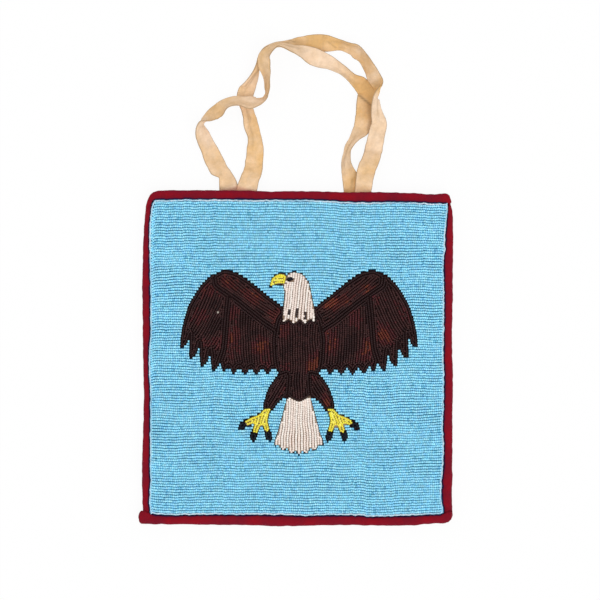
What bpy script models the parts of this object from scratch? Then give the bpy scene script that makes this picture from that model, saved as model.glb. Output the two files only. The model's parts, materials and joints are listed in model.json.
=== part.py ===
# A beaded flat bag, lying on its back: the beaded face is up and the mouth is towards +Y.
# The origin is the middle of the bag's body, on the surface that it lies on. Metres.

import math

import bpy
from mathutils import Vector

# Body of the bag, across its bindings
BAG_WIDTH = 0.2476
BAG_HEIGHT = 0.2672
CORNER_RADIUS = 0.005

# Widths of the wool binding on the beaded face
LEFT_BINDING = 0.0062
RIGHT_BINDING = 0.0078
TOP_BINDING = 0.0078
BOTTOM_BINDING = 0.0082
INNER_FLAP = 0.006
BOTTOM_OVERHANG = 0.0028

# Thickness of each layer
WOOL_THICKNESS = 0.0006
BACK_THICKNESS = 0.0007
LINING_THICKNESS = 0.0003
CANVAS_THICKNESS = 0.0006
BEAD_HEIGHT = 0.0018
CLEARANCE = 0.0003

# How far apart the two lips of the mouth lie, and the run over which the back sags to the surface
MOUTH_GAP = 0.0042
BACK_SAG_RUN = 0.009

# Bead lanes
LANE_PITCH = 0.0021
VALLEY_SHARE = 0.45

# The beaded bird
FIGURE_SPAN = 0.19
FIGURE_X = 0.0015
FIGURE_Y = 0.003

# Handles, cut from soft hide
STRAP_WIDTH = 0.0132
STRAP_THICKNESS = 0.0012
STRAP_TAIL = 0.014
STRAP_STEPS = 2

MM = 0.001
ARC_STEPS = 3
CURVE_STEPS = 3

# Edges of the body and of the beaded field
LEFT = -BAG_WIDTH / 2
RIGHT = BAG_WIDTH / 2
TOP = BAG_HEIGHT / 2
BOTTOM = -BAG_HEIGHT / 2
FIELD_LEFT = LEFT + LEFT_BINDING
FIELD_RIGHT = RIGHT - RIGHT_BINDING
FIELD_TOP = TOP - TOP_BINDING
FIELD_BOTTOM = BOTTOM + BOTTOM_BINDING
CORNER = min(CORNER_RADIUS, 0.8 * min(LEFT_BINDING, RIGHT_BINDING, TOP_BINDING))

# Levels at the sewn edges, from the lowest layer up
Z_BACK_EDGE = WOOL_THICKNESS + CLEARANCE
Z_BACK_LINING_EDGE = Z_BACK_EDGE + BACK_THICKNESS + CLEARANCE
Z_LINED_BACK = Z_BACK_LINING_EDGE + LINING_THICKNESS + CLEARANCE
Z_CANVAS_EDGE = Z_LINED_BACK + LINING_THICKNESS + CLEARANCE
Z_CANVAS_EDGE_TOP = Z_CANVAS_EDGE + CANVAS_THICKNESS

# Levels at the mouth and in the beaded field
Z_MOUTH_FLOOR = Z_LINED_BACK + WOOL_THICKNESS
Z_MOUTH_ROOF = Z_MOUTH_FLOOR + MOUTH_GAP
Z_FRONT_LINING = Z_MOUTH_ROOF + WOOL_THICKNESS + CLEARANCE
Z_CANVAS = Z_FRONT_LINING + LINING_THICKNESS + CLEARANCE
Z_CANVAS_TOP = Z_CANVAS + CANVAS_THICKNESS
Z_BEADS = Z_CANVAS_TOP + CLEARANCE
Z_BEAD_TOP = Z_BEADS + BEAD_HEIGHT

# The bird's fields of beads, for its right-hand half, in millimetres on a figure 190 mm across.
# Each outline is closed. Where two overlap, the one that is listed first is cut out of the other.
FIGURE_DRAWN_SPAN = 190.0
HEAD = [
    (-13, 25), (-8, 29), (-4, 24), (1, 29), (5, 24), (9, 29), (13, 25), (12, 36), (10, 47),
    (8, 57), (3, 64), (-5, 66), (-11, 62), (-13, 57), (-11, 50), (-12, 38),
]
BEAK = [(-10, 63.5), (-16, 64.5), (-21.5, 61), (-23.5, 54), (-20.5, 55.5), (-16, 57), (-11.5, 56)]
EYE = [(-9.4, 60.6), (-6.6, 61.6), (-4.0, 60.2), (-5.0, 58.2), (-8.6, 58.4)]
BREAST = [
    (0, 38), (9, 36), (16, 28), (19, 12), (18, -6), (14, -22), (8, -34), (0, -38),
    (-8, -34), (-14, -22), (-18, -6), (-19, 12), (-16, 28), (-9, 36),
]
TAIL = [
    (-8, -30), (0, -34), (8, -30), (12, -46), (16, -60), (20, -73), (15.5, -72), (13, -77),
    (9, -74), (6.5, -79.5), (2.5, -76.5), (0, -80.5), (-2.5, -76.5), (-6.5, -79.5), (-9, -74),
    (-13, -77), (-15.5, -72), (-20, -73), (-16, -60), (-12, -46),
]
THIGH = [(8, -14), (17, -17), (24, -27), (28, -39), (28, -45), (22, -45.5), (17, -38), (9, -32)]
FOOT = [
    (22.5, -43.5), (27.5, -43.5), (32, -48.5), (38, -50.5), (44, -54), (42.6, -57.4), (37, -55.3),
    (35.2, -56), (37.6, -62.6), (33.8, -64), (31, -57), (28.6, -56.6), (26.8, -63), (23.0, -62),
    (25.4, -53.5), (24.4, -48.5),
]
TALONS = [
    [(43.6, -53.2), (47.2, -55.6), (48.6, -60.4), (45.6, -59.6), (42.2, -57.8)],
    [(38.2, -62.0), (38.8, -66.4), (36.4, -70.4), (34.4, -67.2), (33.4, -63.8)],
    [(27.2, -62.4), (26.4, -66.8), (22.8, -69.8), (21.6, -66.2), (22.6, -61.6)],
]
COVERTS = [
    (8, 30), (14, 38), (26, 47), (38, 57), (50, 65), (60, 67), (68, 63), (67, 55),
    (58, 49), (48, 42), (38, 34), (28, 26), (17, 19),
]
SECONDARIES = [
    (12, 30), (30, 30), (44, 42), (56, 50), (62, 42), (63, 20), (63, -4), (60, -15), (56.5, -8),
    (52, -16), (47.5, -9), (43, -16.5), (38.5, -9.5), (34, -16.5), (29.5, -10), (25, -16),
    (21, -10), (16, -13), (12, 0),
]
PRIMARIES = [
    (56, 48), (60, 63), (69, 64), (79, 54), (88, 39), (93, 22), (95, 5), (90.5, 8), (86.5, 19),
    (87.5, -4), (82.5, 0), (79, 12), (78.5, -10.5), (73.5, -6), (71, 6), (69, -14.5), (64.5, -9),
    (60, 4), (58, 30),
]

# Direction of the lanes in each field, in degrees from +X
GROUND_LANES = 0
COVERT_LANES = 36
SECONDARY_LANES = 88
PRIMARY_LANES = -62
BREAST_LANES = 90
HEAD_LANES = 80
TAIL_LANES = 90
THIGH_LANES = -58
FOOT_LANES = -70

# Each handle's route from its left end to its right end, as it lies: millimetres to the right of the
# middle of the mouth, millimetres beyond the mouth, roll in degrees, and the share of its width
# that it keeps where the soft hide draws together.
BACK_STRAP_ROUTE = [
    (-54.6, 1, 0, 1.12), (-56.8, 8, -5, 1.06), (-62.4, 16.8, 4, 1.14), (-67.1, 25.2, 12, 1.16),
    (-70.4, 33.5, 30, 1.04), (-76, 45.6, 38, 1.11), (-77, 51.6, 62, 0.93), (-75.9, 56.6, 100, 0.65),
    (-71.5, 59.2, 127, 0.98), (-63.6, 64.4, 134, 1.22), (-56.6, 69.2, 128, 1.06), (-47.7, 71.4, 130, 0.95),
    (-37.5, 70.6, 142, 1.03), (-29.6, 72, 118, 0.9), (-24.8, 76.2, 98, 0.72), (-24.1, 82.8, 112, 0.67),
    (-24.6, 91.2, 118, 0.85), (-25.7, 100.4, 138, 0.98), (-25.8, 107.6, 127, 0.98), (-20.8, 113.4, 115, 0.92),
    (-14, 115.8, 104, 0.83), (-4, 113.7, 123, 0.81), (5.9, 111, 146, 1.03), (14.9, 107, 167, 1.11),
    (27, 102.6, 190, 0.82), (36.6, 97.4, 217, 0.71), (44, 90.2, 230, 0.79), (48.2, 87.2, 318, 1.05),
    (55.6, 80.7, 344, 1.09), (54, 69.8, 350, 0.98), (53.4, 60.4, 350, 1), (52.1, 51, 362, 1.04),
    (46.2, 42.7, 407, 0.77), (40.5, 34.1, 420, 0.74), (39.1, 25.2, 418, 0.95), (40.8, 16.8, 396, 0.96),
    (43, 8.3, 370, 0.95), (43.5, 1, 360, 0.96),
]
FRONT_STRAP_ROUTE = [
    (-40.4, 1, 0, 1.12), (-38, 8.6, 0, 1.11), (-35.4, 15.9, 0, 1.13), (-34.3, 23.4, -2, 1.08),
    (-33.5, 32.8, -2, 1.02), (-34.1, 42.9, 22, 0.88), (-36.7, 52.4, 21, 0.98), (-38.9, 62.1, 25, 0.78),
    (-40.6, 70.3, 22, 0.86), (-41.4, 78, 9, 1.04), (-37.9, 85.2, 22, 0.8), (-34.1, 93.2, 56, 0.77),
    (-31.4, 100.3, 75, 0.8), (-30.6, 107, 84, 0.75), (-26.1, 114.2, 92, 0.66), (-18.5, 118.2, 94, 0.66),
    (-11.2, 117.6, 118, 0.69), (-3.4, 118.6, 146, 0.73), (3, 118.4, 158, 0.92), (13.8, 119.6, 168, 0.99),
    (24.6, 118.6, 186, 1.03), (34.1, 117.5, 206, 0.74), (42.1, 114.9, 224, 0.83), (48, 112.4, 230, 1.02),
    (53.4, 105.7, 236, 1.04), (58.1, 97.9, 224, 0.94), (61.6, 91.7, 214, 0.94), (64.8, 86.5, 224, 0.88),
    (64.6, 79.5, 260, 0.8), (63.2, 72.2, 295, 0.8), (63.6, 63.7, 322, 0.83), (65.8, 53.9, 342, 0.96),
    (63.5, 45.1, 362, 0.99), (61.8, 35, 368, 1.08), (59.6, 26.5, 372, 1.09), (55.6, 16.8, 361, 1.11),
    (53.8, 7.6, 360, 1.05), (52.5, 1, 360, 1.05),
]
# How far beyond the mouth each handle comes down to the surface
STRAP_LANDING = 0.024
# Steepest rise of a handle towards a crossing
STRAP_RISE_RATIO = 0.35
# The stretch of each handle's route, as shares of it, where that handle lies over the other one
BACK_OVER_SHARES = (0.2, 0.64)
FRONT_OVER_SHARES = (0.56, 0.94)

COLOURS = {
    "blue_beads": ((0.19, 0.53, 0.74), 0.30),
    "pale_beads": ((0.45, 0.68, 0.80), 0.30),
    "brown_beads": ((0.035, 0.016, 0.014), 0.30),
    "rust_beads": ((0.13, 0.022, 0.016), 0.30),
    "black_beads": ((0.012, 0.012, 0.014), 0.28),
    "white_beads": ((0.72, 0.60, 0.54), 0.32),
    "yellow_beads": ((0.80, 0.60, 0.05), 0.30),
    "canvas": ((0.32, 0.38, 0.40), 0.90),
    "cotton_lining": ((0.62, 0.55, 0.44), 0.90),
    "back_hide": ((0.62, 0.46, 0.29), 0.85),
    "red_wool": ((0.20, 0.010, 0.018), 0.95),
    "strap_hide": ((0.80, 0.58, 0.34), 0.80),
}


def material_named(name):
    """The Principled material of that name, made the first time it is asked for."""
    found = bpy.data.materials.get(name)
    if found:
        return found
    colour, roughness = COLOURS[name]
    made = bpy.data.materials.new(name)
    made.use_nodes = True
    shader = made.node_tree.nodes["Principled BSDF"]
    shader.inputs["Base Color"].default_value = (*colour, 1)
    shader.inputs["Roughness"].default_value = roughness
    shader.inputs["Metallic"].default_value = 0
    return made


def add_mesh(name, points, faces, material=None):
    """A mesh object from points and faces. Without a material it is a hidden cutter."""
    mesh = bpy.data.meshes.new(name)
    mesh.from_pydata([tuple(p) for p in points], [], faces)
    obj = bpy.data.objects.new(name, mesh)
    bpy.context.scene.collection.objects.link(obj)
    if material is None:
        obj.hide_render = True
        obj.display_type = "WIRE"
    else:
        mesh.materials.append(material_named(material))
    return obj


def add_boolean(obj, operation, cutter):
    modifier = obj.modifiers.new(cutter.name, "BOOLEAN")
    modifier.operation = operation
    modifier.object = cutter
    modifier.solver = "EXACT"


def loft(name, sections, material=None):
    """A closed solid through like polygons, whose points run anticlockwise seen from the last section."""
    count = len(sections[0])
    points = [p for section in sections for p in section]
    last = len(points) - count
    faces = [tuple(reversed(range(count))), tuple(range(last, last + count))]
    for i in range(len(sections) - 1):
        for j in range(count):
            k = (j + 1) % count
            faces.append((i * count + j, i * count + k, (i + 1) * count + k, (i + 1) * count + j))
    return add_mesh(name, points, faces, material)


def area_of(outline):
    return sum(a[0] * b[1] - b[0] * a[1] for a, b in zip(outline, outline[1:] + outline[:1])) / 2


def prism(name, outline, low, high, material=None):
    """An upright prism on a closed outline in XY."""
    ring = outline if area_of(outline) > 0 else outline[::-1]
    return loft(name, [[(x, y, z) for x, y in ring] for z in (low, high)], material)


def grown(outline, by):
    """The outline moved outwards by a small distance, along the normals at its points."""
    ring = outline if area_of(outline) > 0 else outline[::-1]
    made = []
    for i, (x, y) in enumerate(ring):
        before, after = ring[i - 1], ring[(i + 1) % len(ring)]
        a = Vector((x - before[0], y - before[1])).normalized()
        b = Vector((after[0] - x, after[1] - y)).normalized()
        bisector = Vector((a.y + b.y, -a.x - b.x)).normalized()
        stretch = max(0.5, bisector.dot(Vector((a.y, -a.x))))
        made.append((x + bisector.x * by / stretch, y + bisector.y * by / stretch))
    return made


def catmull_rom(before, start, end, after, t):
    """One coordinate of the smooth curve from start to end."""
    return 0.5 * (
        2 * start
        + (end - before) * t
        + (2 * before - 5 * start + 4 * end - after) * t * t
        + (3 * start - before - 3 * end + after) * t ** 3
    )


def smooth_line(rows, steps):
    """Rows of numbers along the smooth open curve through the rows given."""
    padded = [rows[0], *rows, rows[-1]]
    made = []
    for a, b, c, d in zip(padded, padded[1:], padded[2:], padded[3:]):
        for s in range(steps):
            made.append(tuple(catmull_rom(*four, s / steps) for four in zip(a, b, c, d)))
    return [*made, rows[-1]]


def rounded_outline(points, tension=0.22):
    """A closed outline that keeps near its points, with each corner eased by a short curve."""
    made = []
    for i, here in enumerate(points):
        before, after = Vector(points[i - 1]), Vector(points[(i + 1) % len(points)])
        here = Vector(here)
        start = here.lerp(before, tension)
        end = here.lerp(after, tension)
        for s in range(CURVE_STEPS):
            t = s / (CURVE_STEPS - 1)
            made.append(tuple((start.lerp(here, t)).lerp(here.lerp(end, t), t)))
    return made


def corner_arc(radius):
    """(inward, upward) places round the mouth's corner, from the side edge to the top edge."""
    turns = [math.radians(90 * i / ARC_STEPS) for i in range(ARC_STEPS + 1)]
    return [(radius * (1 - math.cos(a)), radius * (math.sin(a) - 1)) for a in turns]


# Layers of cloth and hide

EDGE_INSET = WOOL_THICKNESS + CLEARANCE
SHEET_ARC = corner_arc(CORNER - EDGE_INSET)
SHEET_X = (
    [LEFT + EDGE_INSET + inward for inward, _ in SHEET_ARC]
    + [FIELD_LEFT, FIELD_LEFT + BACK_SAG_RUN, FIELD_RIGHT - BACK_SAG_RUN, FIELD_RIGHT]
    + [RIGHT - EDGE_INSET - inward for inward, _ in reversed(SHEET_ARC)]
)
SHEET_Y = [BOTTOM + EDGE_INSET, FIELD_BOTTOM, FIELD_BOTTOM + BACK_SAG_RUN,
           FIELD_TOP - BACK_SAG_RUN, FIELD_TOP, TOP - CORNER - EDGE_INSET / 2]
SHEET_TOP = (
    [TOP - EDGE_INSET + up for _, up in SHEET_ARC]
    + [TOP - EDGE_INSET] * 4
    + [TOP - EDGE_INSET + up for _, up in reversed(SHEET_ARC)]
)


def share(value, low, high):
    """How far value lies from low to high, kept between 0 and 1."""
    return max(0.0, min(1.0, (value - low) / (high - low)))


def front_level(x, y, edge, field):
    """Height of a front layer: low at the closed edges, and level in the field and at the mouth."""
    inside = min(
        share(x, LEFT + EDGE_INSET, FIELD_LEFT),
        share(-x, -RIGHT + EDGE_INSET, -FIELD_RIGHT),
        share(y, BOTTOM + EDGE_INSET, FIELD_BOTTOM),
    )
    return edge + (field - edge) * inside


def back_level(x, y, edge, field):
    """Height of a back layer: it sags to the surface inside the bindings."""
    inside = min(
        share(x, FIELD_LEFT, FIELD_LEFT + BACK_SAG_RUN),
        share(-x, -FIELD_RIGHT, -FIELD_RIGHT + BACK_SAG_RUN),
        share(y, FIELD_BOTTOM, FIELD_BOTTOM + BACK_SAG_RUN),
        share(-y, -FIELD_TOP, -FIELD_TOP + BACK_SAG_RUN),
    )
    return edge + (field - edge) * inside


def add_sheet(name, level, thickness, material):
    """A layer of cloth on the grid that all four layers share."""
    columns = [[(x, y) for y in SHEET_Y] + [(x, top)] for x, top in zip(SHEET_X, SHEET_TOP)]
    tall = len(columns[0])
    wide = len(columns)
    points = []
    for lift in (0, thickness):
        points += [(x, y, level(x, y) + lift) for column in columns for x, y in column]
    upper = wide * tall
    faces = []
    for i in range(wide - 1):
        for j in range(tall - 1):
            a, b, c, d = i * tall + j, (i + 1) * tall + j, (i + 1) * tall + j + 1, i * tall + j + 1
            faces += [(a, c, b), (a, d, c)]
            faces += [(upper + a, upper + b, upper + c), (upper + a, upper + c, upper + d)]
    rim = [i * tall for i in range(wide)]
    rim += [(wide - 1) * tall + j for j in range(1, tall)]
    rim += [i * tall + tall - 1 for i in range(wide - 2, -1, -1)]
    rim += list(range(tall - 2, 0, -1))
    for a, b in zip(rim, rim[1:] + rim[:1]):
        faces.append((a, b, upper + b, upper + a))
    return add_mesh(name, points, faces, material)


def build_layers():
    add_sheet("back_panel", lambda x, y: back_level(x, y, Z_BACK_EDGE, 0), BACK_THICKNESS, "back_hide")
    lined = BACK_THICKNESS + CLEARANCE
    add_sheet(
        "back_lining", lambda x, y: back_level(x, y, Z_BACK_LINING_EDGE, lined),
        LINING_THICKNESS, "cotton_lining",
    )
    add_sheet(
        "front_lining", lambda x, y: front_level(x, y, Z_LINED_BACK, Z_FRONT_LINING),
        LINING_THICKNESS, "cotton_lining",
    )
    add_sheet(
        "front_canvas", lambda x, y: front_level(x, y, Z_CANVAS_EDGE, Z_CANVAS), CANVAS_THICKNESS, "canvas"
    )


# Wool binding. A section is a list of (distance inward from the outer edge, height).

BINDING_TOP = Z_BEAD_TOP - 0.0004
HEM_ROUND = 0.0008


def bolster_section(width, drawn_in=0.0):
    """Outer face of the binding that closes a side or the bottom, narrowed where it is drawn in."""
    rise = BINDING_TOP
    outer = [
        (width, 0), (HEM_ROUND, 0), (0.2 * HEM_ROUND, HEM_ROUND), (0, 0.32 * rise),
        (0.07 * width, 0.55 * rise), (0.27 * width, 0.78 * rise), (0.6 * width, 0.95 * rise), (width, rise),
    ]
    return [(width - (width - n) * (1 - drawn_in / width), z) for n, z in outer]


def cavity_section(width, drawn_in=0.0):
    """The space in that binding that the edges of the layers fill."""
    start = WOOL_THICKNESS + drawn_in
    past = width + EDGE_INSET
    roof = Z_CANVAS_TOP + CLEARANCE
    edge_roof = Z_CANVAS_EDGE_TOP + CLEARANCE
    start_roof = edge_roof + (roof - edge_roof) * share(start, WOOL_THICKNESS, width)
    return [(past, WOOL_THICKNESS), (start, WOOL_THICKNESS), (start, start_roof), (width, roof), (past, roof)]


def side_sections(section_at, side, width, radius, low, high):
    """Sections up the bag's side, which draw in round the corner at the mouth."""
    stations = [(0, low)] + [(inward, high + up) for inward, up in corner_arc(radius)]
    edge = LEFT if side < 0 else RIGHT
    made = []
    for drawn_in, y in stations:
        made.append([(edge - side * n, y, z) for n, z in section_at(width, drawn_in)])
    if side > 0:
        made = [ring[::-1] for ring in made]
    return made


def add_side_binding(name, side, width):
    low = FIELD_BOTTOM + CLEARANCE
    body = loft(name, side_sections(bolster_section, side, width, CORNER, low, TOP), "red_wool")
    inner_radius = CORNER - WOOL_THICKNESS
    cavity = side_sections(
        cavity_section, side, width, inner_radius, low - EDGE_INSET, TOP - WOOL_THICKNESS
    )
    add_boolean(body, "DIFFERENCE", loft(name + "_cavity", cavity))


def add_bottom_binding():
    def sections(section, left, right):
        return [[(x, BOTTOM + n, z) for n, z in reversed(section)] for x in (left, right)]

    body = loft(
        "binding_bottom", sections(bolster_section(BOTTOM_BINDING), LEFT - BOTTOM_OVERHANG, RIGHT), "red_wool"
    )
    cavity = sections(cavity_section(BOTTOM_BINDING), LEFT + WOOL_THICKNESS, RIGHT - WOOL_THICKNESS)
    add_boolean(body, "DIFFERENCE", loft("binding_bottom_cavity", cavity))


def add_lip(name, section):
    """A folded strip along one lip of the mouth, between the two side bindings."""
    ends = (FIELD_LEFT + CLEARANCE, FIELD_RIGHT - CLEARANCE)
    loft(name, [[(x, TOP - n, z) for n, z in section] for x in ends], "red_wool")


def build_bindings():
    add_side_binding("binding_left", -1, LEFT_BINDING)
    add_side_binding("binding_right", 1, RIGHT_BINDING)
    add_bottom_binding()
    over_canvas = Z_CANVAS_TOP + CLEARANCE
    add_lip(
        "binding_mouth_front",
        [
            (INNER_FLAP, Z_MOUTH_ROOF), (HEM_ROUND, Z_MOUTH_ROOF), (0, Z_MOUTH_ROOF + HEM_ROUND),
            (0, over_canvas), (HEM_ROUND, BINDING_TOP - HEM_ROUND), (2 * HEM_ROUND, BINDING_TOP),
            (TOP_BINDING, BINDING_TOP), (TOP_BINDING, over_canvas), (WOOL_THICKNESS, over_canvas),
            (WOOL_THICKNESS, Z_MOUTH_ROOF + WOOL_THICKNESS), (INNER_FLAP, Z_MOUTH_ROOF + WOOL_THICKNESS),
        ],
    )
    add_lip(
        "binding_mouth_back",
        [
            (TOP_BINDING, 0), (HEM_ROUND, 0), (0, HEM_ROUND), (0, Z_MOUTH_FLOOR - HEM_ROUND),
            (HEM_ROUND, Z_MOUTH_FLOOR), (INNER_FLAP, Z_MOUTH_FLOOR), (INNER_FLAP, Z_LINED_BACK),
            (WOOL_THICKNESS, Z_LINED_BACK), (WOOL_THICKNESS, WOOL_THICKNESS), (TOP_BINDING, WOOL_THICKNESS),
        ],
    )


# Beadwork. Each field of beads is a slab with one ridge for each lane.

LANE_LEFT = FIELD_LEFT + CLEARANCE
LANE_RIGHT = FIELD_RIGHT - CLEARANCE
LANE_BOTTOM = FIELD_BOTTOM + CLEARANCE
LANE_TOP = FIELD_TOP - CLEARANCE


def ridge_profile(length, pitch):
    """(distance across the lanes, height) of whole lanes that fill a length, from its start."""
    lanes = max(1, round(length / pitch))
    step = length / lanes
    valley = Z_BEADS + VALLEY_SHARE * BEAD_HEIGHT
    made = []
    for i in range(lanes):
        made += [(i * step, valley), ((i + 0.5) * step, Z_BEAD_TOP)]
    return [*made, (length, valley)]


def ridged_slab(name, centre, half_length, half_width, angle, material):
    """Lanes of beads that run at an angle, over a rectangle about a centre."""
    along = Vector((math.cos(math.radians(angle)), math.sin(math.radians(angle))))
    across = Vector((-along.y, along.x))
    profile = [(0, Z_BEADS), *ridge_profile(2 * half_width, LANE_PITCH), (2 * half_width, Z_BEADS)]
    sections = []
    for end in (-half_length, half_length):
        start = Vector(centre) + along * end - across * half_width
        ring = [(*(start + across * n), z) for n, z in profile]
        sections.append(ring[::-1])
    return loft(name, sections, material)


def figure_outline(points, mirrored=False):
    """A field's outline on the bag, from its drawn points."""
    scale = FIGURE_SPAN / FIGURE_DRAWN_SPAN
    side = -1 if mirrored else 1
    drawn = [(FIGURE_X + side * x * scale, FIGURE_Y + y * scale) for x, y in points]
    return rounded_outline(drawn)


def both_sides(name, points, lanes, material):
    """The same field on the bird's two sides, with its lanes mirrored."""
    return [
        (name + "_right", figure_outline(points), lanes, material),
        (name + "_left", figure_outline(points, True), 180 - lanes, material),
    ]


def figure_fields():
    """(name, outline, direction of the lanes, material) of each field, the uppermost first."""
    fields = [
        ("eye_beads", figure_outline(EYE), GROUND_LANES, "black_beads"),
        ("beak_beads", figure_outline(BEAK), GROUND_LANES, "yellow_beads"),
        ("head_beads", figure_outline(HEAD), HEAD_LANES, "white_beads"),
    ]
    for i, talon in enumerate(TALONS):
        fields += both_sides(f"talon_{i + 1}", talon, FOOT_LANES, "black_beads")
    fields += both_sides("foot", FOOT, FOOT_LANES, "yellow_beads")
    fields += both_sides("thigh", THIGH, THIGH_LANES, "brown_beads")
    fields.append(("breast_beads", figure_outline(BREAST), BREAST_LANES, "brown_beads"))
    fields.append(("tail_beads", figure_outline(TAIL), TAIL_LANES, "white_beads"))
    fields += both_sides("wing_coverts", COVERTS, COVERT_LANES, "rust_beads")
    fields += both_sides("wing_primaries", PRIMARIES, PRIMARY_LANES, "brown_beads")
    fields += both_sides("wing_secondaries", SECONDARIES, SECONDARY_LANES, "brown_beads")
    return fields


def box_of(outline):
    xs, ys = [x for x, _ in outline], [y for _, y in outline]
    return min(xs), min(ys), max(xs), max(ys)


def boxes_meet(a, b):
    return a[0] <= b[2] and b[0] <= a[2] and a[1] <= b[3] and b[1] <= a[3]


def build_beadwork():
    fields = figure_fields()
    low, high = Z_BEADS - BEAD_HEIGHT, Z_BEAD_TOP + BEAD_HEIGHT
    cutters = {
        name: prism(name + "_room", grown(outline, CLEARANCE), low, high) for name, outline, _, _ in fields
    }
    for i, (name, outline, lanes, material) in enumerate(fields):
        left, bottom, right, top = box_of(outline)
        centre = ((left + right) / 2, (bottom + top) / 2)
        reach = math.hypot(right - left, top - bottom) / 2 + LANE_PITCH
        slab = ridged_slab(name, centre, reach, reach, lanes, material)
        add_boolean(slab, "INTERSECT", prism(name + "_edge", outline, low, high))
        for other, other_outline, _, _ in fields[:i]:
            if boxes_meet(box_of(outline), box_of(other_outline)):
                add_boolean(slab, "DIFFERENCE", cutters[other])

    inner_left, inner_right = LANE_LEFT + LANE_PITCH, LANE_RIGHT - LANE_PITCH
    inner_bottom, inner_top = LANE_BOTTOM + LANE_PITCH, LANE_TOP - LANE_PITCH
    ground = ridged_slab(
        "ground_beads",
        ((inner_left + inner_right) / 2, (inner_bottom + inner_top) / 2),
        (inner_right - inner_left) / 2 - CLEARANCE / 2, (inner_top - inner_bottom) / 2 - CLEARANCE / 2,
        GROUND_LANES, "blue_beads",
    )
    for cutter in cutters.values():
        add_boolean(ground, "DIFFERENCE", cutter)
    add_edge_lane(inner_left, inner_right, inner_bottom, inner_top)


def add_edge_lane(inner_left, inner_right, inner_bottom, inner_top):
    """The single lane of beads round the edge of the field."""
    def ring(inset, z):
        left, right = inner_left - inset, inner_right + inset
        bottom, top = inner_bottom - inset, inner_top + inset
        return [(left, bottom, z), (right, bottom, z), (right, top, z), (left, top, z)]

    valley = Z_BEADS + VALLEY_SHARE * BEAD_HEIGHT
    gap = CLEARANCE / 2
    rings = [
        ring(gap, Z_BEADS), ring(gap, valley), ring(0.3 * LANE_PITCH, Z_BEAD_TOP),
        ring(0.7 * LANE_PITCH, Z_BEAD_TOP), ring(LANE_PITCH, valley), ring(LANE_PITCH, Z_BEADS),
    ]
    points = [p for corners in rings for p in corners]
    faces = []
    for i in range(len(rings)):
        k = (i + 1) % len(rings)
        for j in range(4):
            n = (j + 1) % 4
            faces.append((i * 4 + j, k * 4 + j, k * 4 + n, i * 4 + n))
    add_mesh("edge_lane_beads", points, faces, "pale_beads")


# Handles

def strap_rows(route):
    """Rows of (x, y, roll, width share) with both tails inside the mouth."""
    inside = [(-STRAP_TAIL / MM, 0), (-STRAP_TAIL / 2 / MM, 0), (0, 0)]
    first, last = route[0], route[-1]
    head = [(first[0], y, first[2], 1) for y, _ in inside]
    foot = [(last[0], y, round(last[2] / 180) * 180, 1) for y, _ in reversed(inside)]
    return smooth_line([*head, *route, *foot], STRAP_STEPS)


def strap_frames(rows, root_level):
    """For each row: its place, roll, half width, and the height of its lowest edge if nothing is under it."""
    made = []
    for x, y, roll, width in rows:
        beyond = y * MM
        landing = share(beyond, 0, STRAP_LANDING)
        settle = landing * landing * (3 - 2 * landing)
        low = (root_level - STRAP_THICKNESS / 2) * (1 - settle)
        made.append([x * MM, TOP + beyond, math.radians(roll), STRAP_WIDTH / 2 * width, low])
    return made


def half_rise(frame):
    """Half of the height that the turned section takes."""
    _, _, roll, half, _ = frame
    return abs(math.sin(roll)) * half + abs(math.cos(roll)) * STRAP_THICKNESS / 2


def half_spread(frame):
    """Half of the breadth that the turned section takes, seen from above."""
    _, _, roll, half, _ = frame
    return abs(math.cos(roll)) * half + abs(math.sin(roll)) * STRAP_THICKNESS / 2


def lay_over(upper, stretch, lower):
    """Lifts a stretch of one handle clear of the other where they cross, with an even slope on both sides."""
    first, last = (round(part * len(upper)) for part in stretch)
    needed = [frame[4] for frame in upper]
    for i in range(first, last):
        here = upper[i]
        for there in lower:
            near = half_spread(here) + half_spread(there) + CLEARANCE
            if math.hypot(here[0] - there[0], here[1] - there[1]) < near:
                needed[i] = max(needed[i], there[4] + 2 * half_rise(there) + 2 * CLEARANCE)
    for order in (range(1, len(upper)), range(len(upper) - 2, -1, -1)):
        for i in order:
            before = i - order.step
            run = math.hypot(upper[i][0] - upper[before][0], upper[i][1] - upper[before][1])
            needed[i] = max(needed[i], needed[before] - STRAP_RISE_RATIO * run)
    for here, lift in zip(upper, needed):
        if here[1] > TOP:
            here[4] = lift


def add_strap(name, frames):
    """A ribbon of hide through the frames."""
    places = [Vector((f[0], f[1], f[4] + half_rise(f))) for f in frames]
    sections = []
    for i, (place, frame) in enumerate(zip(places, frames)):
        forward = (places[min(i + 1, len(places) - 1)] - places[max(i - 1, 0)]).normalized()
        level = Vector((-forward.y, forward.x, 0)).normalized()
        upright = forward.cross(level)
        across = (level * math.cos(frame[2]) + upright * math.sin(frame[2])) * frame[3]
        through = forward.cross(across).normalized() * STRAP_THICKNESS / 2
        sections.append(
            [place - across - through, place + across - through, place + across + through,
             place - across + through]
        )
    loft(name, sections, "strap_hide")


def build_straps():
    back = strap_frames(
        strap_rows(BACK_STRAP_ROUTE), Z_MOUTH_FLOOR + CLEARANCE + STRAP_THICKNESS / 2
    )
    front = strap_frames(
        strap_rows(FRONT_STRAP_ROUTE), Z_MOUTH_ROOF - CLEARANCE - STRAP_THICKNESS / 2
    )
    lay_over(back, BACK_OVER_SHARES, front)
    lay_over(front, FRONT_OVER_SHARES, back)
    add_strap("strap_back", back)
    add_strap("strap_front", front)


def main():
    for obj in list(bpy.data.objects):
        bpy.data.objects.remove(obj)
    build_layers()
    build_bindings()
    build_beadwork()
    build_straps()


main()
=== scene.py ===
import json
import math

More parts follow.
